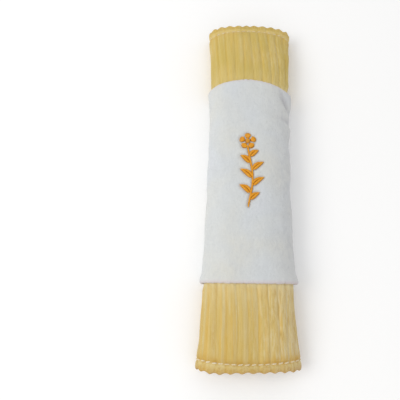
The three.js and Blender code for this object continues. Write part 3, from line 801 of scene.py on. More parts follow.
def sprig_threads():
    rows = []
    # stem, slanted satin
    n = int(math.hypot(46, 8) / PITCH)
    t = np.linspace(-0.005, 1.0, n)
    x, y = stem_at(t)
    dx, dy = np.gradient(x), np.gradient(y)
    l = np.hypot(dx, dy)
    tx, ty = dx / l, dy / l
    h = STEM_HALF * (0.75 + 0.25 * smooth(0, 0.08, t))
    slant = 0.5
    A = np.stack([x + ty * h - tx * slant, y - tx * h - ty * slant], 1)
    B = np.stack([x - ty * h + tx * slant, y + tx * h + ty * slant], 1)
    rows.append(satin(A, B, np.full(n, 0.45), seed=41))
    # leaves, fishbone satin: threads run from the midrib out and forward to the edge
    for i, (t0, side, long) in enumerate(LEAVES):
        x0, y0 = stem_at(t0)
        lean = math.pi / 2 - side * 0.9
        c, s = math.cos(lean), math.sin(lean)
        sign = math.copysign(1, c)

        def on_leaf(t, d):
            along = t * long
            bow = 0.1 * long * np.sin(np.pi * t) * sign
            return np.stack([x0 + c * along - s * (d + bow), y0 + s * along + c * (d + bow)], -1)

        def half(t):
            t = np.clip(t, 0, 1)
            return LEAF_WIDE / 2 * np.abs(np.sin(np.pi * t**0.85)) ** 0.8

        m = int(long * 0.94 / PITCH)
        t = np.linspace(0.05, 0.90, m)
        for way in (1, -1):
            te = np.minimum(t + 0.15, 1.0)
            A = on_leaf(t, way * -0.06 * np.ones(m))
            B = on_leaf(te, way * half(te))
            rows.append(satin(A, B, 0.34 + 0.22 * np.sin(np.pi * t), seed=50 + 2 * i + (way > 0)))
    # bloom: five petals in radial satin round a small eye
    bx, by = stem_at(1.0)
    by = by + PETAL_OUT
    for i in range(5):
        a = -math.pi / 2 + math.pi / 5 + 2 * math.pi * i / 5
        ux, uy = math.cos(a), math.sin(a)
        cx, cy = bx + PETAL_OUT * ux, by + PETAL_OUT * uy
        m = int(2 * PETAL / PITCH)
        d = np.linspace(-PETAL * 0.96, PETAL * 0.96, m)
        reach = np.sqrt(np.maximum(PETAL**2 - d**2, 0.05))
        fan = d * 0.62
        inner_r = PETAL_OUT - reach * 0.8
        A = np.stack([bx + ux * np.maximum(inner_r, 1.7) - uy * fan, by + uy * np.maximum(inner_r, 1.7) + ux * fan], 1)
        B = np.stack([cx + ux * reach - uy * d, cy + uy * reach + ux * d], 1)
        rows.append(satin(A, B, 0.34 + 0.2 * (reach / PETAL), seed=80 + i))
    m = int(2 * BLOOM_EYE * 0.8 / PITCH)
    d = np.linspace(-BLOOM_EYE * 0.76, BLOOM_EYE * 0.76, m)
    reach = np.sqrt(np.maximum((BLOOM_EYE * 0.8) ** 2 - d**2, 0.05))
    A = np.stack([bx - reach, by + d], 1)
    B = np.stack([bx + reach, by + d], 1)
    rows.append(satin(A, B, 0.75 + 0.1 * reach, dip=0.3, seed=90))
    return rows


def build_sprig(rows):
    parts = []
    taper = np.array([0.55, 0.95, 1, 1, 1, 1, 0.95, 0.55])
    for phi, v, w in rows:
        P, N = place(phi, v, w, band_skew, True)
        parts.append(tubes(P, N, THREAD * taper, sides=6, flat=0.85))
    V, Q, T = merge(parts)
    # flat layout: threads in a grid of small cells
    k = len(V) // 48
    side = math.ceil(math.sqrt(k))
    cell = np.arange(len(V)) // 48
    step = (np.arange(len(V)) % 48) // 6
    ang = np.arange(len(V)) % 6
    u = (cell % side + 0.1 + 0.8 * step / 7) / side
    q = (cell // side + 0.1 + 0.8 * ang / 5) / side
    return finish_mesh("embroidered_sprig", V, Q, T, {"OFBake": np.stack([u, q], 1)},
                       {"along": step / 7, "thread": np.random.default_rng(5).uniform(0, 1, k + 1)[cell]})


SPRIG_ROWS = sprig_threads()


# ------------------------------------------------------------------ rows of stitches
def stitch_row(phi, v, w, long, pitch, radius, skew, seed, across=False, sides=6, bulge=0.28, tilt=0.10):
    """Separate stitches along a row; phi0..phi1 or v0..v1 as given."""
    (a, b), fixed = (v, phi) if across else (phi, v)
    n = max(2, int(round((b - a) / pitch)))
    mid = a + (np.arange(n) + 0.5) * (b - a) / n
    r = np.random.default_rng(seed)
    mid = mid + r.uniform(-0.12, 0.12, n)
    half = long / 2 * (1 + r.uniform(-0.06, 0.06, n))
    s = np.linspace(-1, 1, 9)[None, :]
    run = mid[:, None] + half[:, None] * s
    off = fixed + r.uniform(-0.10, 0.10, (n, 1)) + tilt * s * (r.uniform(-1, 1, (n, 1)) + (0.8 if tilt > 0.2 else 0))
    arch = (1 - s**4)
    phis, vs = (off + 0 * run, run) if across else (run, off + 0 * run)
    ww = w(phis, vs) + radius * 0.7 + bulge * (arch - 1) * 2.2 + 0.06 * r.uniform(-1, 1, (n, 1))
    return phis, vs, ww, skew, radius, sides


def twisted(rows, flip=False):
    """Each stitch is a two-ply thread."""
    parts = []
    for phis, vs, ww, skew, radius, sides in rows:
        P, N = place(phis, vs, np.broadcast_to(ww, phis.shape), skew, True)
        P[..., 2] = np.maximum(P[..., 2], radius * 1.1 + 0.02)
        if flip:
            N = -N
        n = P.shape[1]
        T = np.gradient(P, axis=1)
        T /= np.linalg.norm(T, axis=-1, keepdims=True) + 1e-12
        B = np.cross(T, N)
        taper = np.array([0.5, 0.85, 1, 1, 1, 1, 1, 0.85, 0.5])
        length = np.cumsum(np.r_[0, np.ones(n - 1)]) / (n - 1)
        for ply in (0, 1):
            a = 2 * np.pi * 1.6 * length + ply * np.pi
            off = (np.cos(a)[None, :, None] * B + np.sin(a)[None, :, None] * N) * radius * 0.42
            parts.append(tubes(P + off, N, radius * 0.62 * taper, sides=sides))
    return merge(parts)


def thread_piece(name, rows, flip=False):
    V, Q, T = twisted(rows, flip)
    sides = rows[0][5]
    per = 9 * sides
    cell = np.arange(len(V)) // per
    k = int(cell.max()) + 1
    side = math.ceil(math.sqrt(k))
    step = (np.arange(len(V)) % per) // sides
    ang = np.arange(len(V)) % sides
    u = (cell % side + 0.1 + 0.8 * step / 8) / side
    q = (cell // side + 0.1 + 0.8 * ang / (sides - 1)) / side
    return finish_mesh(name, V, Q, T, {"OFBake": np.stack([u, q], 1)},
                       {"along": step / 8, "thread": np.random.default_rng(6).uniform(0, 1, k)[cell]})


# ------------------------------------------------------------------ lining, wadding, tapes
def wrinkle(phi, v):
    return 0.16 * noise(phi, v, 14, 30, 61) + 0.10 * noise(phi, v, 5, 22, 62) + 0.06 * noise(phi, v, 3, 9, 63)


def thin_tray(name, phis, vs, top, thick, skew, floor_at, wr=None, edge=0.3):
    """A thin sheet: top(f, phi, v) is its outer height; its inner face takes the wrinkles."""
    def at(phi, v, add):
        return on_floor(place(phi, v, lambda f: top(f, phi, v) + add, skew), floor_at)

    def spot(PH, VV, k):
        return at(PH, VV, 0.0)

    midp, midv = (phis[0] + phis[-1]) / 2, (vs[0] + vs[-1]) / 2
    hp, hv = (phis[-1] - phis[0]) / 2, (vs[-1] - vs[0]) / 2

    def ring(theta):
        def make(bphi, bv, dphi, dv):
            s, c = math.sin(theta), math.cos(theta)
            out = edge * s
            phi, v = bphi + dphi * out, bv + dv * out
            return phi, v, edge * theta, at(phi, v, np.full(len(phi), -thick / 2 * (1 - c)))
        return make

    def inner(p, v):
        PH, VV = np.meshgrid(midp + (p - midp) * (1 - 0.5 / hp), midv + (v - midv) * (1 - 0.5 / hv))
        add = -thick * np.ones(PH.shape)
        if wr is not None:
            fade = np.minimum(smooth(0, 6, hp - np.abs(PH - midp)), smooth(0, 8, hv - np.abs(VV - midv)))
            add = add + wr(PH, VV) * fade
        return PH, VV, at(PH, VV, add)

    return tray(name, phis, vs, spot, [ring(math.pi * t) for t in (0.25, 0.5, 0.75, 1.0)], inner)


def odd(a, b, step):
    n = 2 * max(1, int(abs(b - a) / step / 2)) + 1
    return np.linspace(a, b, n)


def build_lining():
    top = lambda f, p, v: -COVER_T - 2 * GAP - f
    return thin_tray("lining", odd(-LEFT + 1.6, RIGHT - 1.6, 0.62), odd(-129.9, 129.9, 1.3), top, LINING_T, end_skew, 1.0, wrinkle)


def build_wadding():
    lo, hi = -LEFT + 32.5, RIGHT - 25

    def at(phi, v, deep):
        w = lambda f: -COVER_T - GAP - 0.05 - deep * np.maximum(f - 0.2, 0.15)
        return on_floor(place(phi, v, w, end_skew), 0.9)

    phis, vs = odd(lo, hi, 1.6), odd(-125.5, 125.5, 2.6)
    spot = lambda PH, VV, k: at(PH, VV, 0)
    ring = lambda t: (lambda bp, bv, dp, dv: (bp + dp * 0.4 * math.sin(t), bv + dv * 0.4 * math.sin(t), 0.4 * t,
                                                at(bp + dp * 0.4 * math.sin(t), bv + dv * 0.4 * math.sin(t), (1 - math.cos(t)) / 2)))
    midp = (lo + hi) / 2
    inner = lambda p, v: (lambda PH, VV: (PH, VV, at(PH, VV, 1)))(*np.meshgrid(midp + (p - midp) * 0.99, v * 0.99))
    return tray("wadding", phis, vs, spot, [ring(math.pi * t) for t in (0.33, 0.66, 1.0)], inner)


def build_tape(name, side):
    """side 'loop': under the inner flap; 'hook': on the outer flap's lining."""
    half = 8.0
    if side == "loop":
        mid = -LEFT + FLAP_X
        # out from the inner flap's outer face
        lo_w, hi_w = GAP, GAP + 0.4
    else:
        mid = RIGHT - FLAP_X
        lo_w, hi_w = -FLAP_T - GAP - 0.4, -FLAP_T - GAP
    top = lambda f, p, v: hi_w + 0 * f + 0.02 * noise(p, v, 0.9, 0.9, 71)
    base = thin_tray(name, odd(mid - half, mid + half, 0.8), odd(-125.8, 125.8, 1.4), top, hi_w - lo_w, end_skew, 0.0, None, 0.2)
    return base, mid, lo_w, hi_w


def build_hooks(mid, lo_w):
    """Rows of small bent hooks that stand up from the hook tape."""
    ps, vs = np.meshgrid(mid + np.arange(-5.6, 5.61, 1.6), np.arange(-122.4, 122.5, 1.8))
    ps = ps + 0.4 * ((np.arange(ps.shape[0]) % 2)[:, None] - 0.5)
    ps, vs = ps.ravel(), vs.ravel()
    s = np.linspace(0, 1, 6)[None, :]
    lean = np.where(np.arange(len(ps)) % 2 == 0, 1, -1)[:, None]
    phi = ps[:, None] + lean * 0.28 * np.sin(s * np.pi * 1.15)
    v = vs[:, None] + 0 * s
    h = 0.52 * np.sin(np.clip(s * 1.35, 0, 1.6) * np.pi / 2)
    w = lo_w - h + 0.05
    P, N = place(phi, v, w, end_skew, True)
    Ny = np.zeros_like(N); Ny[..., 1] = 1
    return tubes(P, Ny, 0.11 * np.array([1.1, 1, 1, 1, 0.9, 0.7]), sides=4)


def build_loops(mid, hi_w):
    """Brushed loops on the loop tape."""
    ps, vs = np.meshgrid(mid + np.arange(-5.8, 5.81, 0.9), np.arange(-122.6, 122.7, 1.25))
    r = np.random.default_rng(17)
    ps = (ps + r.uniform(-0.25, 0.25, ps.shape)).ravel()
    vs = (vs + r.uniform(-0.35, 0.35, vs.shape)).ravel()
    s = np.linspace(0, 1, 7)[None, :]
    turn = r.uniform(0, np.pi, len(ps))[:, None]
    rad = r.uniform(0.28, 0.42, len(ps))[:, None]
    phi = ps[:, None] + np.cos(turn) * rad * np.cos(np.pi * s)
    v = vs[:, None] + np.sin(turn) * rad * np.cos(np.pi * s)
    w = hi_w - 0.04 + r.uniform(0.3, 0.5, len(ps))[:, None] * np.sin(np.pi * s)
    P, N = place(phi, v, w, end_skew, True)
    return tubes(P, N, 0.055, sides=3)


# ------------------------------------------------------------------ materials
def rgb(r, g, b):
    """sRGB 0-255 to linear."""
    f = lambda c: (c / 255 / 12.92) if c / 255 <= 0.04045 else ((c / 255 + 0.055) / 1.055) ** 2.4
    return (f(r), f(g), f(b), 1.0)


class Mat:
    def __init__(self, name):
        self.m = bpy.data.materials.new(name)
        self.m.use_nodes = True
        self.t = self.m.node_tree
        self.t.nodes.clear()
        self.out = self.t.nodes.new("ShaderNodeOutputMaterial")
        self.b = self.t.nodes.new("ShaderNodeBsdfPrincipled")
        self.t.links.new(self.b.outputs[0], self.out.inputs[0])

    def node(self, kind, **kw):
        n = self.t.nodes.new(kind)
        for k, v in kw.items():
            setattr(n, k, v)
        return n

    def link(self, a, b):
        self.t.links.new(a, b)

    def set(self, **kw):
        for k, v in kw.items():
            self.b.inputs[k.replace("_", " ")].default_value = v

    def uv(self, name, scale):
        u = self.node("ShaderNodeUVMap", uv_map=name)
        m = self.node("ShaderNodeMapping")
        m.inputs["Scale"].default_value = scale
        self.link(u.outputs[0], m.inputs[0])
        return m.outputs[0]

    def obj(self, scale):
        u = self.node("ShaderNodeTexCoord")
        m = self.node("ShaderNodeMapping")
        m.inputs["Scale"].default_value = scale
        self.link(u.outputs["Object"], m.inputs[0])
        return m.outputs[0]

    def noise(self, vec, scale, detail=3.0, rough=0.55, distort=0.0):
        n = self.node("ShaderNodeTexNoise")
        n.inputs["Scale"].default_value = scale
        n.inputs["Detail"].default_value = detail
        n.inputs["Roughness"].default_value = rough
        n.inputs["Distortion"].default_value = distort
        self.link(vec, n.inputs["Vector"])
        return n.outputs["Fac"]

    def ramp(self, fac, stops):
        r = self.node("ShaderNodeValToRGB")
        e = r.color_ramp.elements
        while len(e) < len(stops):
            e.new(0.5)
        for k, (p, c) in enumerate(stops):
            e[k].position = p
            e[k].color = c if len(c) == 4 else (*c, 1)
        self.link(fac, r.inputs[0])
        return r.outputs[0]

    def attr(self, name):
        a = self.node("ShaderNodeAttribute", attribute_name=name)
        return a.outputs["Fac"]

    def mix(self, fac, a, b, mode="MIX"):
        m = self.node("ShaderNodeMix", data_type="RGBA", blend_type=mode)
        for s, x in ((m.inputs[0], fac), (m.inputs[6], a), (m.inputs[7], b)):
            if isinstance(x, (int, float)):
                s.default_value = x
            elif isinstance(x, tuple):
                s.default_value = x
            else:
                self.link(x, s)
        return m.outputs[2]

    def math(self, op, a, b=None, clamp=False):
        m = self.node("ShaderNodeMath", operation=op, use_clamp=clamp)
        for s, x in zip(m.inputs, (a, b)):
            if x is None:
                continue
            if isinstance(x, (int, float)):
                s.default_value = x
            else:
                self.link(x, s)
        return m.outputs[0]

    def map(self, v, a, b, c, d):
        m = self.node("ShaderNodeMapRange")
        self.link(v, m.inputs[0])
        for i, x in enumerate((a, b, c, d)):
            m.inputs[i + 1].default_value = x
        return m.outputs[0]

    def bump(self, height, strength, distance, normal=None):
        b = self.node("ShaderNodeBump")
        b.inputs["Strength"].default_value = strength
        b.inputs["Distance"].default_value = distance
        self.link(height, b.inputs["Height"])
        if normal is not None:
            self.link(normal, b.inputs["Normal"])
        return b.outputs[0]


def yellow_plush():
    m = Mat("yellow_ribbed_plush")
    m.set(Roughness=0.92, Sheen_Weight=0.30, Sheen_Roughness=0.40)
    m.b.inputs["Sheen Tint"].default_value = (1.0, 0.93, 0.74, 1)
    m.b.inputs["Specular IOR Level"].default_value = 0.18
    fab = m.uv("fabric", (1, 1, 1))
    streak = m.noise(m.uv("fabric", (60, 9, 1)), 1.0, 4, 0.6)
    patch = m.noise(fab, 6.5, 3, 0.5, 0.6)
    grain = m.noise(m.uv("fabric", (330, 210, 1)), 1.0, 2, 0.6)
    wide = m.noise(m.uv("fabric", (14, 4, 1)), 1.0, 2, 0.5)
    r = m.attr("ridge")
    gold, pale = rgb(212, 181, 100), rgb(211, 190, 137)
    # painted shade: each rib darker in its groove
    base = m.ramp(r, [(0.0, rgb(203, 169, 90)), (0.3, gold), (1.0, rgb(212, 185, 110))])
    base = m.mix(m.math("MULTIPLY", m.attr("lay"), m.map(wide, 0.36, 0.6, 0.45, 1.0)), base, pale)
    comb = m.noise(m.uv("fabric", (95, 6, 1)), 1.0, 3, 0.6, 0.3)
    base = m.mix(m.map(streak, 0.36, 0.70, 0, 0.50), base, rgb(203, 167, 83))
    base = m.mix(m.map(comb, 0.48, 0.70, 0, 0.60), base, rgb(222, 204, 156))
    long = m.noise(m.uv("fabric", (46, 1.5, 1)), 1.0, 3, 0.55, 0.15)
    tufts = m.map(m.noise(m.uv("fabric", (130, 38, 1)), 1.0, 3, 0.65, 0.5), 0.38, 0.62, 0.25, 1.0)
    base = m.mix(m.math("MULTIPLY", tufts, m.map(long, 0.53, 0.66, 0, 0.70)), base, rgb(226, 211, 166))
    base = m.mix(m.math("MULTIPLY", tufts, m.map(long, 0.47, 0.34, 0, 0.66)), base, rgb(196, 156, 70))
    gilt = m.noise(m.uv("fabric", (27, 1.1, 1)), 1.0, 2, 0.5, 0.1)
    base = m.mix(m.map(gilt, 0.49, 0.62, 0, 0.62), base, rgb(222, 180, 84))
    base = m.mix(m.map(patch, 0.45, 0.72, 0, 0.30), base, rgb(214, 190, 130))
    base = m.mix(m.map(grain, 0.35, 0.75, 0.0, 0.22), base, rgb(224, 202, 146))
    # painted sheen: paler, greyer pile low on the right flank
    base = m.mix(m.math("MULTIPLY", m.attr("painted_sheen"), m.map(comb, 0.40, 0.62, 0.35, 0.90)), base, rgb(209, 193, 160))
    mottle = m.noise(m.uv("fabric", (68, 11, 1)), 1.0, 3, 0.65, 0.4)
    # stronger pile streaks on the right flank: the pale ones are painted sheen, the dark gold ones between them deepen
    # the contrast
    base = m.mix(m.math("MULTIPLY", m.attr("right"), m.map(mottle, 0.51, 0.64, 0, 0.56)), base, rgb(228, 214, 176))
    base = m.mix(m.math("MULTIPLY", m.attr("right"), m.map(mottle, 0.48, 0.35, 0, 0.52)), base, rgb(186, 144, 66))
    # painted shade: brownish tint down the cover's side walls
    base = m.mix(m.math("MULTIPLY", m.attr("side"), 0.45), base, rgb(184, 139, 68))
    base = m.mix(m.math("MULTIPLY", m.attr("rich"), 0.68), base, rgb(192, 169, 84))
    base = m.mix(m.math("MULTIPLY", m.attr("hem_pale"), 0.55), base, rgb(218, 196, 138))
    # painted shade: darker gold beside the hem seams, where the stitching pinches the ribs down
    base = m.mix(m.math("MULTIPLY", m.attr("stitch"), 0.72), base, rgb(198, 152, 54))
    speck = m.noise(m.uv("fabric", (62, 62, 1)), 1.0, 3, 0.65, 0.4)
    on_hem = m.attr("on_hem")
    base = m.mix(m.math("MULTIPLY", on_hem, m.map(speck, 0.46, 0.36, 0, 0.55)), base, rgb(192, 148, 70))
    base = m.mix(m.math("MULTIPLY", on_hem, m.map(speck, 0.54, 0.66, 0, 0.50)), base, rgb(224, 204, 146))
    base = m.mix(m.math("MULTIPLY", m.attr("tuft"), 0.60), base, rgb(230, 212, 158))
    base = m.mix(m.map(m.noise(m.uv("fabric", (420, 420, 1)), 1.0, 2, 0.6), 0.35, 0.70, 0.0, 0.30), base, rgb(198, 166, 94))
    # paler beside the band: white hem fibres over the yellow, and painted light lifting the band's contact shadow
    base = m.mix(m.math("MULTIPLY", m.attr("by_band"), 0.66), base, rgb(233, 218, 174))
    base = m.mix(m.attr("low"), base, (0.925, 0.925, 0.94, 1), "MULTIPLY")
    base = m.mix(1.0, base, (1.105, 1.125, 1.11, 1), "MULTIPLY")
    # painted shade along the hems' rolled rims
    base = m.mix(m.math("MULTIPLY", m.attr("hem"), m.map(speck, 0.35, 0.65, 0.90, 0.76)), base, rgb(184, 130, 46))
    m.link(base, m.b.inputs["Base Color"])
    h = m.math("ADD", m.math("MULTIPLY", grain, 1.0), m.math("MULTIPLY", m.noise(m.uv("fabric", (120, 60, 1)), 1.0, 3, 0.6), 1.3))
    h = m.math("ADD", h, m.math("MULTIPLY", m.noise(m.uv("fabric", (640, 420, 1)), 1.0, 2, 0.6), 0.7))
    m.link(m.bump(h, 0.80, 0.00045), m.b.inputs["Normal"])
    return m.m


def white_plush():
    m = Mat("white_plush")
    m.set(Roughness=0.95, Sheen_Weight=0.25, Sheen_Roughness=0.45)
    m.b.inputs["Sheen Tint"].default_value = (0.98, 0.99, 1.0, 1)
    m.b.inputs["Specular IOR Level"].default_value = 0.15
    fab = m.uv("fabric", (1, 1, 1))
    patch = m.noise(fab, 2.8, 2, 0.45, 0.5)
    lay = m.noise(m.uv("fabric", (34, 12, 1)), 1.0, 4, 0.62, 0.4)
    grain = m.noise(m.uv("fabric", (260, 150, 1)), 1.0, 3, 0.65)
    base = m.ramp(patch, [(0.28, rgb(213, 212, 204)), (0.46, rgb(210, 212, 210)), (0.62, rgb(208, 212, 215)), (0.78, rgb(211, 213, 219))])
    smudge = m.noise(m.uv("fabric", (9, 6, 1)), 1.0, 2, 0.5, 0.5)
    base = m.mix(m.map(smudge, 0.50, 0.72, 0, 0.35), base, rgb(200, 203, 203))
    base = m.mix(m.map(lay, 0.38, 0.72, 0, 0.35), base, rgb(199, 203, 205))
    # painted shade: the band's right side, turned from the light, greyer and with grey mottling
    far = m.attr("far")
    base = m.mix(m.math("MULTIPLY", far, 0.40), base, rgb(199, 199, 203))
    base = m.mix(m.math("MULTIPLY", far, m.map(m.noise(m.uv("fabric", (22, 13, 1)), 1.0, 3, 0.6, 0.3), 0.48, 0.62, 0, 0.55)), base, rgb(188, 190, 193))
    base = m.mix(m.map(grain, 0.35, 0.75, 0, 0.30), base, rgb(222, 225, 226))
    clump = m.map(m.attr("clump"), -0.25, 0.25, 0.0, 1.0)
    # painted shade: greyer in the hollows between pile clumps
    base = m.mix(m.map(clump, 0.0, 0.55, 0.22, 0.0), base, rgb(190, 192, 193))
    # painted shade in the hollow where the embroidery presses the plush down
    base = m.mix(m.math("MULTIPLY", m.attr("press"), 0.25), base, rgb(196, 193, 184))
    # painted shade in the plush's dents and creases
    base = m.mix(m.math("MULTIPLY", m.attr("crease_shade"), 0.50), base, rgb(172, 170, 175))
    base = m.mix(m.math("MULTIPLY", m.attr("edge"), m.map(grain, 0.40, 0.62, 0.80, 0.45)), base, rgb(209, 194, 195))
    m.link(base, m.b.inputs["Base Color"])
    h = m.math("ADD", m.math("MULTIPLY", grain, 1.0), m.math("MULTIPLY", m.noise(m.uv("fabric", (95, 55, 1)), 1.0, 3, 0.6), 1.4))
    m.link(m.bump(h, 0.6, 0.0005), m.b.inputs["Normal"])
    return m.m


def lining_cloth():
    m = Mat("lining_cloth")
    m.set(Roughness=0.8, Sheen_Weight=0.2, Sheen_Roughness=0.5)
    m.b.inputs["Specular IOR Level"].default_value = 0.25
    warp = m.node("ShaderNodeTexWave", wave_type="BANDS", bands_direction="X")
    weft = m.node("ShaderNodeTexWave", wave_type="BANDS", bands_direction="Y")
    v = m.uv("fabric", (1, 1, 1))
    for w in (warp, weft):
        w.inputs["Scale"].default_value = 62.0
        w.inputs["Distortion"].default_value = 0.6
        w.inputs["Detail"].default_value = 1.0
        m.link(v, w.inputs["Vector"])
    weave = m.math("MULTIPLY", warp.outputs["Fac"], weft.outputs["Fac"])
    tone = m.noise(v, 7.0, 3, 0.5)
    base = m.ramp(tone, [(0.3, rgb(229, 217, 190)), (0.7, rgb(240, 231, 208))])
    base = m.mix(m.map(weave, 0.0, 1.0, 0.35, 0.0), base, rgb(206, 192, 160))
    m.link(base, m.b.inputs["Base Color"])
    m.link(m.bump(weave, 0.35, 0.00012), m.b.inputs["Normal"])
    return m.m


def wadding_mat():
    m = Mat("wadding")
    m.set(Roughness=1.0, Sheen_Weight=0.3, Sheen_Roughness=0.6)
    v = m.uv("fabric", (1, 1, 1))
    n = m.noise(v, 60.0, 6, 0.7, 1.2)
    m.link(m.ramp(n, [(0.3, rgb(226, 226, 224)), (0.7, rgb(246, 246, 244))]), m.b.inputs["Base Color"])
    m.link(m.bump(n, 0.8, 0.0006), m.b.inputs["Normal"])
    return m.m


def thread_mat(name, dark, mid, light, rough, sheen):
    m = Mat(name)
    m.set(Roughness=rough, Sheen_Weight=sheen, Sheen_Roughness=0.3)
    m.b.inputs["Specular IOR Level"].default_value = 0.45
    a = m.attr("along")
    t = m.attr("thread")
    ends = m.math("ABSOLUTE", m.math("SUBTRACT", m.math("MULTIPLY", a, 2.0), 1.0))
    base = m.mix(t, mid, light)
    # painted shade: darker towards both ends of each stitch, where the thread sinks into the cloth
    base = m.mix(m.map(ends, 0.6, 1.0, 0.0, 0.7), base, dark)
    fine = m.noise(m.obj((4200, 4200, 4200)), 1.0, 2, 0.6)
    base = m.mix(m.map(fine, 0.3, 0.8, 0.0, 0.25), base, dark)
    m.link(base, m.b.inputs["Base Color"])
    m.link(m.bump(fine, 0.35, 0.00006), m.b.inputs["Normal"])
    return m.m


def tape_mat(name, a, b, rough, scale):
    m = Mat(name)
    m.set(Roughness=rough, Sheen_Weight=0.15, Sheen_Roughness=0.4)
    v = m.obj((1, 1, 1))
    n = m.noise(v, scale, 3, 0.6)
    base = m.ramp(n, [(0.3, a), (0.7, b)])
    m.link(base, m.b.inputs["Base Color"])
    m.link(m.bump(n, 0.4, 0.00015), m.b.inputs["Normal"])
    return m.m


YELLOW = yellow_plush()
WHITE = white_plush()
LINING = lining_cloth()
WADDING = wadding_mat()
ORANGE = thread_mat("orange_thread", rgb(186, 108, 8), rgb(226, 152, 14), rgb(236, 172, 36), 0.42, 0.05)
CREAM = thread_mat("cream_thread", rgb(200, 174, 118), rgb(226, 209, 168), rgb(236, 226, 200), 0.65, 0.15)
WHITE_THREAD = thread_mat("white_thread", rgb(196, 194, 186), rgb(236, 234, 226), rgb(248, 247, 242), 0.6, 0.2)
LOOP_TAPE = tape_mat("loop_pile_tape", rgb(226, 224, 214), rgb(242, 240, 232), 0.9, 900)
HOOK_TAPE = tape_mat("hook_tape", rgb(222, 220, 210), rgb(240, 238, 230), 0.45, 1200)


def use(o, material, slot, *nodes):
    o.data.materials.clear()
    o.data.materials.append(material)
    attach(o, "root")
    if nodes:
        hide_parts(*nodes)
    return o


# ------------------------------------------------------------------ build
cover = use(build_cover(), YELLOW, "ribbed_plush", "ribbed_cover")
band = use(build_band(), WHITE, "white_plush", "plush_band")
sprig = use(build_sprig(SPRIG_ROWS), ORANGE, "orange_thread", "embroidered_sprig")
lining = use(build_lining(), LINING, "lining_cloth", "lining")
wad = use(build_wadding(), WADDING, "wadding", "wadding")

for end, sign in (("lower", -1), ("upper", 1)):
    v0 = sign * STITCH_V
    if sign < 0:
        rows = [stitch_row((-LEFT + 3.5, RIGHT - 3.5), v0, lambda p, v: rib_top(p, v) - 0.02, 3.5, 4.2, 0.50, end_skew, 101, tilt=0.22)]
    else:
        rows = [stitch_row((-LEFT + 3.5, RIGHT - 3.5), v0, lambda p, v: rib_top(p, v) - 0.10, 3.2, 4.2, 0.30, end_skew, 102, tilt=0.22)]
    use(thread_piece(end + "_hem_needle_thread", rows), CREAM, "cream_thread", end + "_hem_needle_thread")
    # the bobbin side lies on the lining
    lo, hi = -LEFT + 3.5, RIGHT - 3.5
    phis, vs, ww, skew, radius, sides = stitch_row((lo, hi), v0, lambda p, v: 0 * p, 3.4, 4.2, 0.22, end_skew, 103 if sign < 0 else 104)
    f = section(phis, vs)[4]
    s = np.linspace(-1, 1, 9)[None, :]
    ww = -COVER_T - 2 * GAP - f - LINING_T - 0.14 + 0.3 * s**4
    use(thread_piece(end + "_hem_bobbin_thread", [(phis, vs, ww, skew, radius, sides)], flip=True), CREAM, "cream_thread", end + "_hem_bobbin_thread")

# the band's inner edge row, on the slope beside the closure
rows = [stitch_row(BAND_L + 2.2, (BAND_LOW + 2, BAND_HIGH - 2), lambda p, v: GAP + BAND_T - 0.28 + 0 * p, 2.9, 3.4, 0.24, band_skew, 105, across=True)]
use(thread_piece("band_edge_thread", rows), WHITE_THREAD, "white_thread", "band_edge_thread")

loop, mid, lo_w, hi_w = build_tape("loop_tape", "loop")
use(loop, LOOP_TAPE, "loop_pile_tape", "loop_tape")
loops = use(finish_mesh("loop_tape_loops", *build_loops(mid, hi_w)), LOOP_TAPE, "loop_pile_tape")
rows = [stitch_row(mid + k * 6.95, (-124, 124), lambda p, v: hi_w - 0.03 + 0 * p, 2.6, 3.0, 0.16, end_skew, 106 + k, across=True, bulge=0.1) for k in (-1, 1)]
rows += [stitch_row((mid - 6.6, mid + 6.6), k * 124.2, lambda p, v: hi_w - 0.03 + 0 * p, 2.3, 2.6, 0.16, end_skew, 109 + k, bulge=0.1) for k in (-1, 1)]
use(thread_piece("loop_tape_thread", rows), CREAM, "cream_thread", "loop_tape_thread")

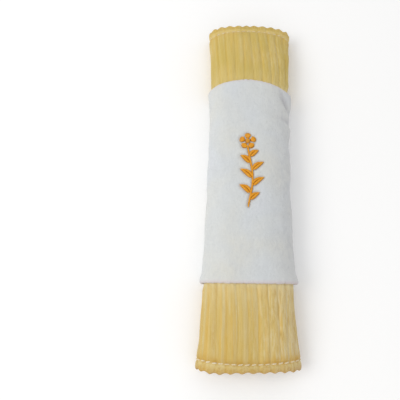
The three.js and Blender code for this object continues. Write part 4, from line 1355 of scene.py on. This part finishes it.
hook, mid, lo_w, hi_w = build_tape("hook_tape", "hook")
use(hook, HOOK_TAPE, "hook_tape", "hook_tape")
hooks = use(finish_mesh("hook_tape_hooks", *build_hooks(mid, lo_w)), HOOK_TAPE, "hook_tape")
s = np.linspace(-1, 1, 9)[None, :]
rows = []
for k in (-1, 1):
    phis, vs, ww, skew, radius, sides = stitch_row(mid + k * 6.95, (-124, 124), lambda p, v: 0 * p, 2.6, 3.0, 0.16, end_skew, 116 + k, across=True)
    rows.append((phis, vs, lo_w - 0.08 + 0.16 * s**4 + 0 * phis, skew, radius, sides))
    phis, vs, ww, skew, radius, sides = stitch_row((mid - 6.6, mid + 6.6), k * 124.2, lambda p, v: 0 * p, 2.3, 2.6, 0.16, end_skew, 119 + k)
    rows.append((phis, vs, lo_w - 0.08 + 0.16 * s**4 + 0 * phis, skew, radius, sides))
use(thread_piece("hook_tape_thread", rows, flip=True), CREAM, "cream_thread", "hook_tape_thread")


# ------------------------------------------------------------------ floor and light
def floor():
    me = bpy.data.meshes.new("floor")
    half = 3.0
    me.from_pydata([(-half, -half, 0), (half, -half, 0), (half, half, 0), (-half, half, 0)], [], [(0, 1, 2, 3)])
    o = bpy.data.objects.new("floor", me)
    bpy.context.scene.collection.objects.link(o)
    m = Mat("floor_white")
    m.set(Roughness=0.9)
    m.b.inputs["Specular IOR Level"].default_value = 0.1
    v = m.obj((1, 1, 1))
    m.link(m.ramp(m.noise(v, 3.0, 2, 0.5), [(0.0, (0.97, 0.97, 0.97, 1)), (1.0, (0.99, 0.99, 0.99, 1))]), m.b.inputs["Base Color"])
    me.materials.append(m.m)


def area(name, pos, size, power, colour=(1, 1, 1)):
    from mathutils import Vector
    l = bpy.data.lights.new(name, "AREA")
    l.shape = "DISK"
    l.size = size
    l.energy = power
    l.color = colour
    o = bpy.data.objects.new(name, l)
    bpy.context.scene.collection.objects.link(o)
    o.location = pos
    o.rotation_euler = (Vector((0, 0, 0.01)) - Vector(pos)).to_track_quat("-Z", "Y").to_euler()
    return o


floor()
area("key", (-0.80, -0.10, 0.85), 0.7, 4.6, (1.0, 0.985, 0.96))
world = bpy.data.worlds.new("studio")
bpy.context.scene.world = world
world.use_nodes = True
bg = world.node_tree.nodes["Background"]
bg.inputs["Color"].default_value = (1.0, 1.0, 1.0, 1)
bg.inputs["Strength"].default_value = 0.80
bpy.context.scene.view_settings.view_transform = "Standard"
bpy.context.scene.view_settings.look = "None"
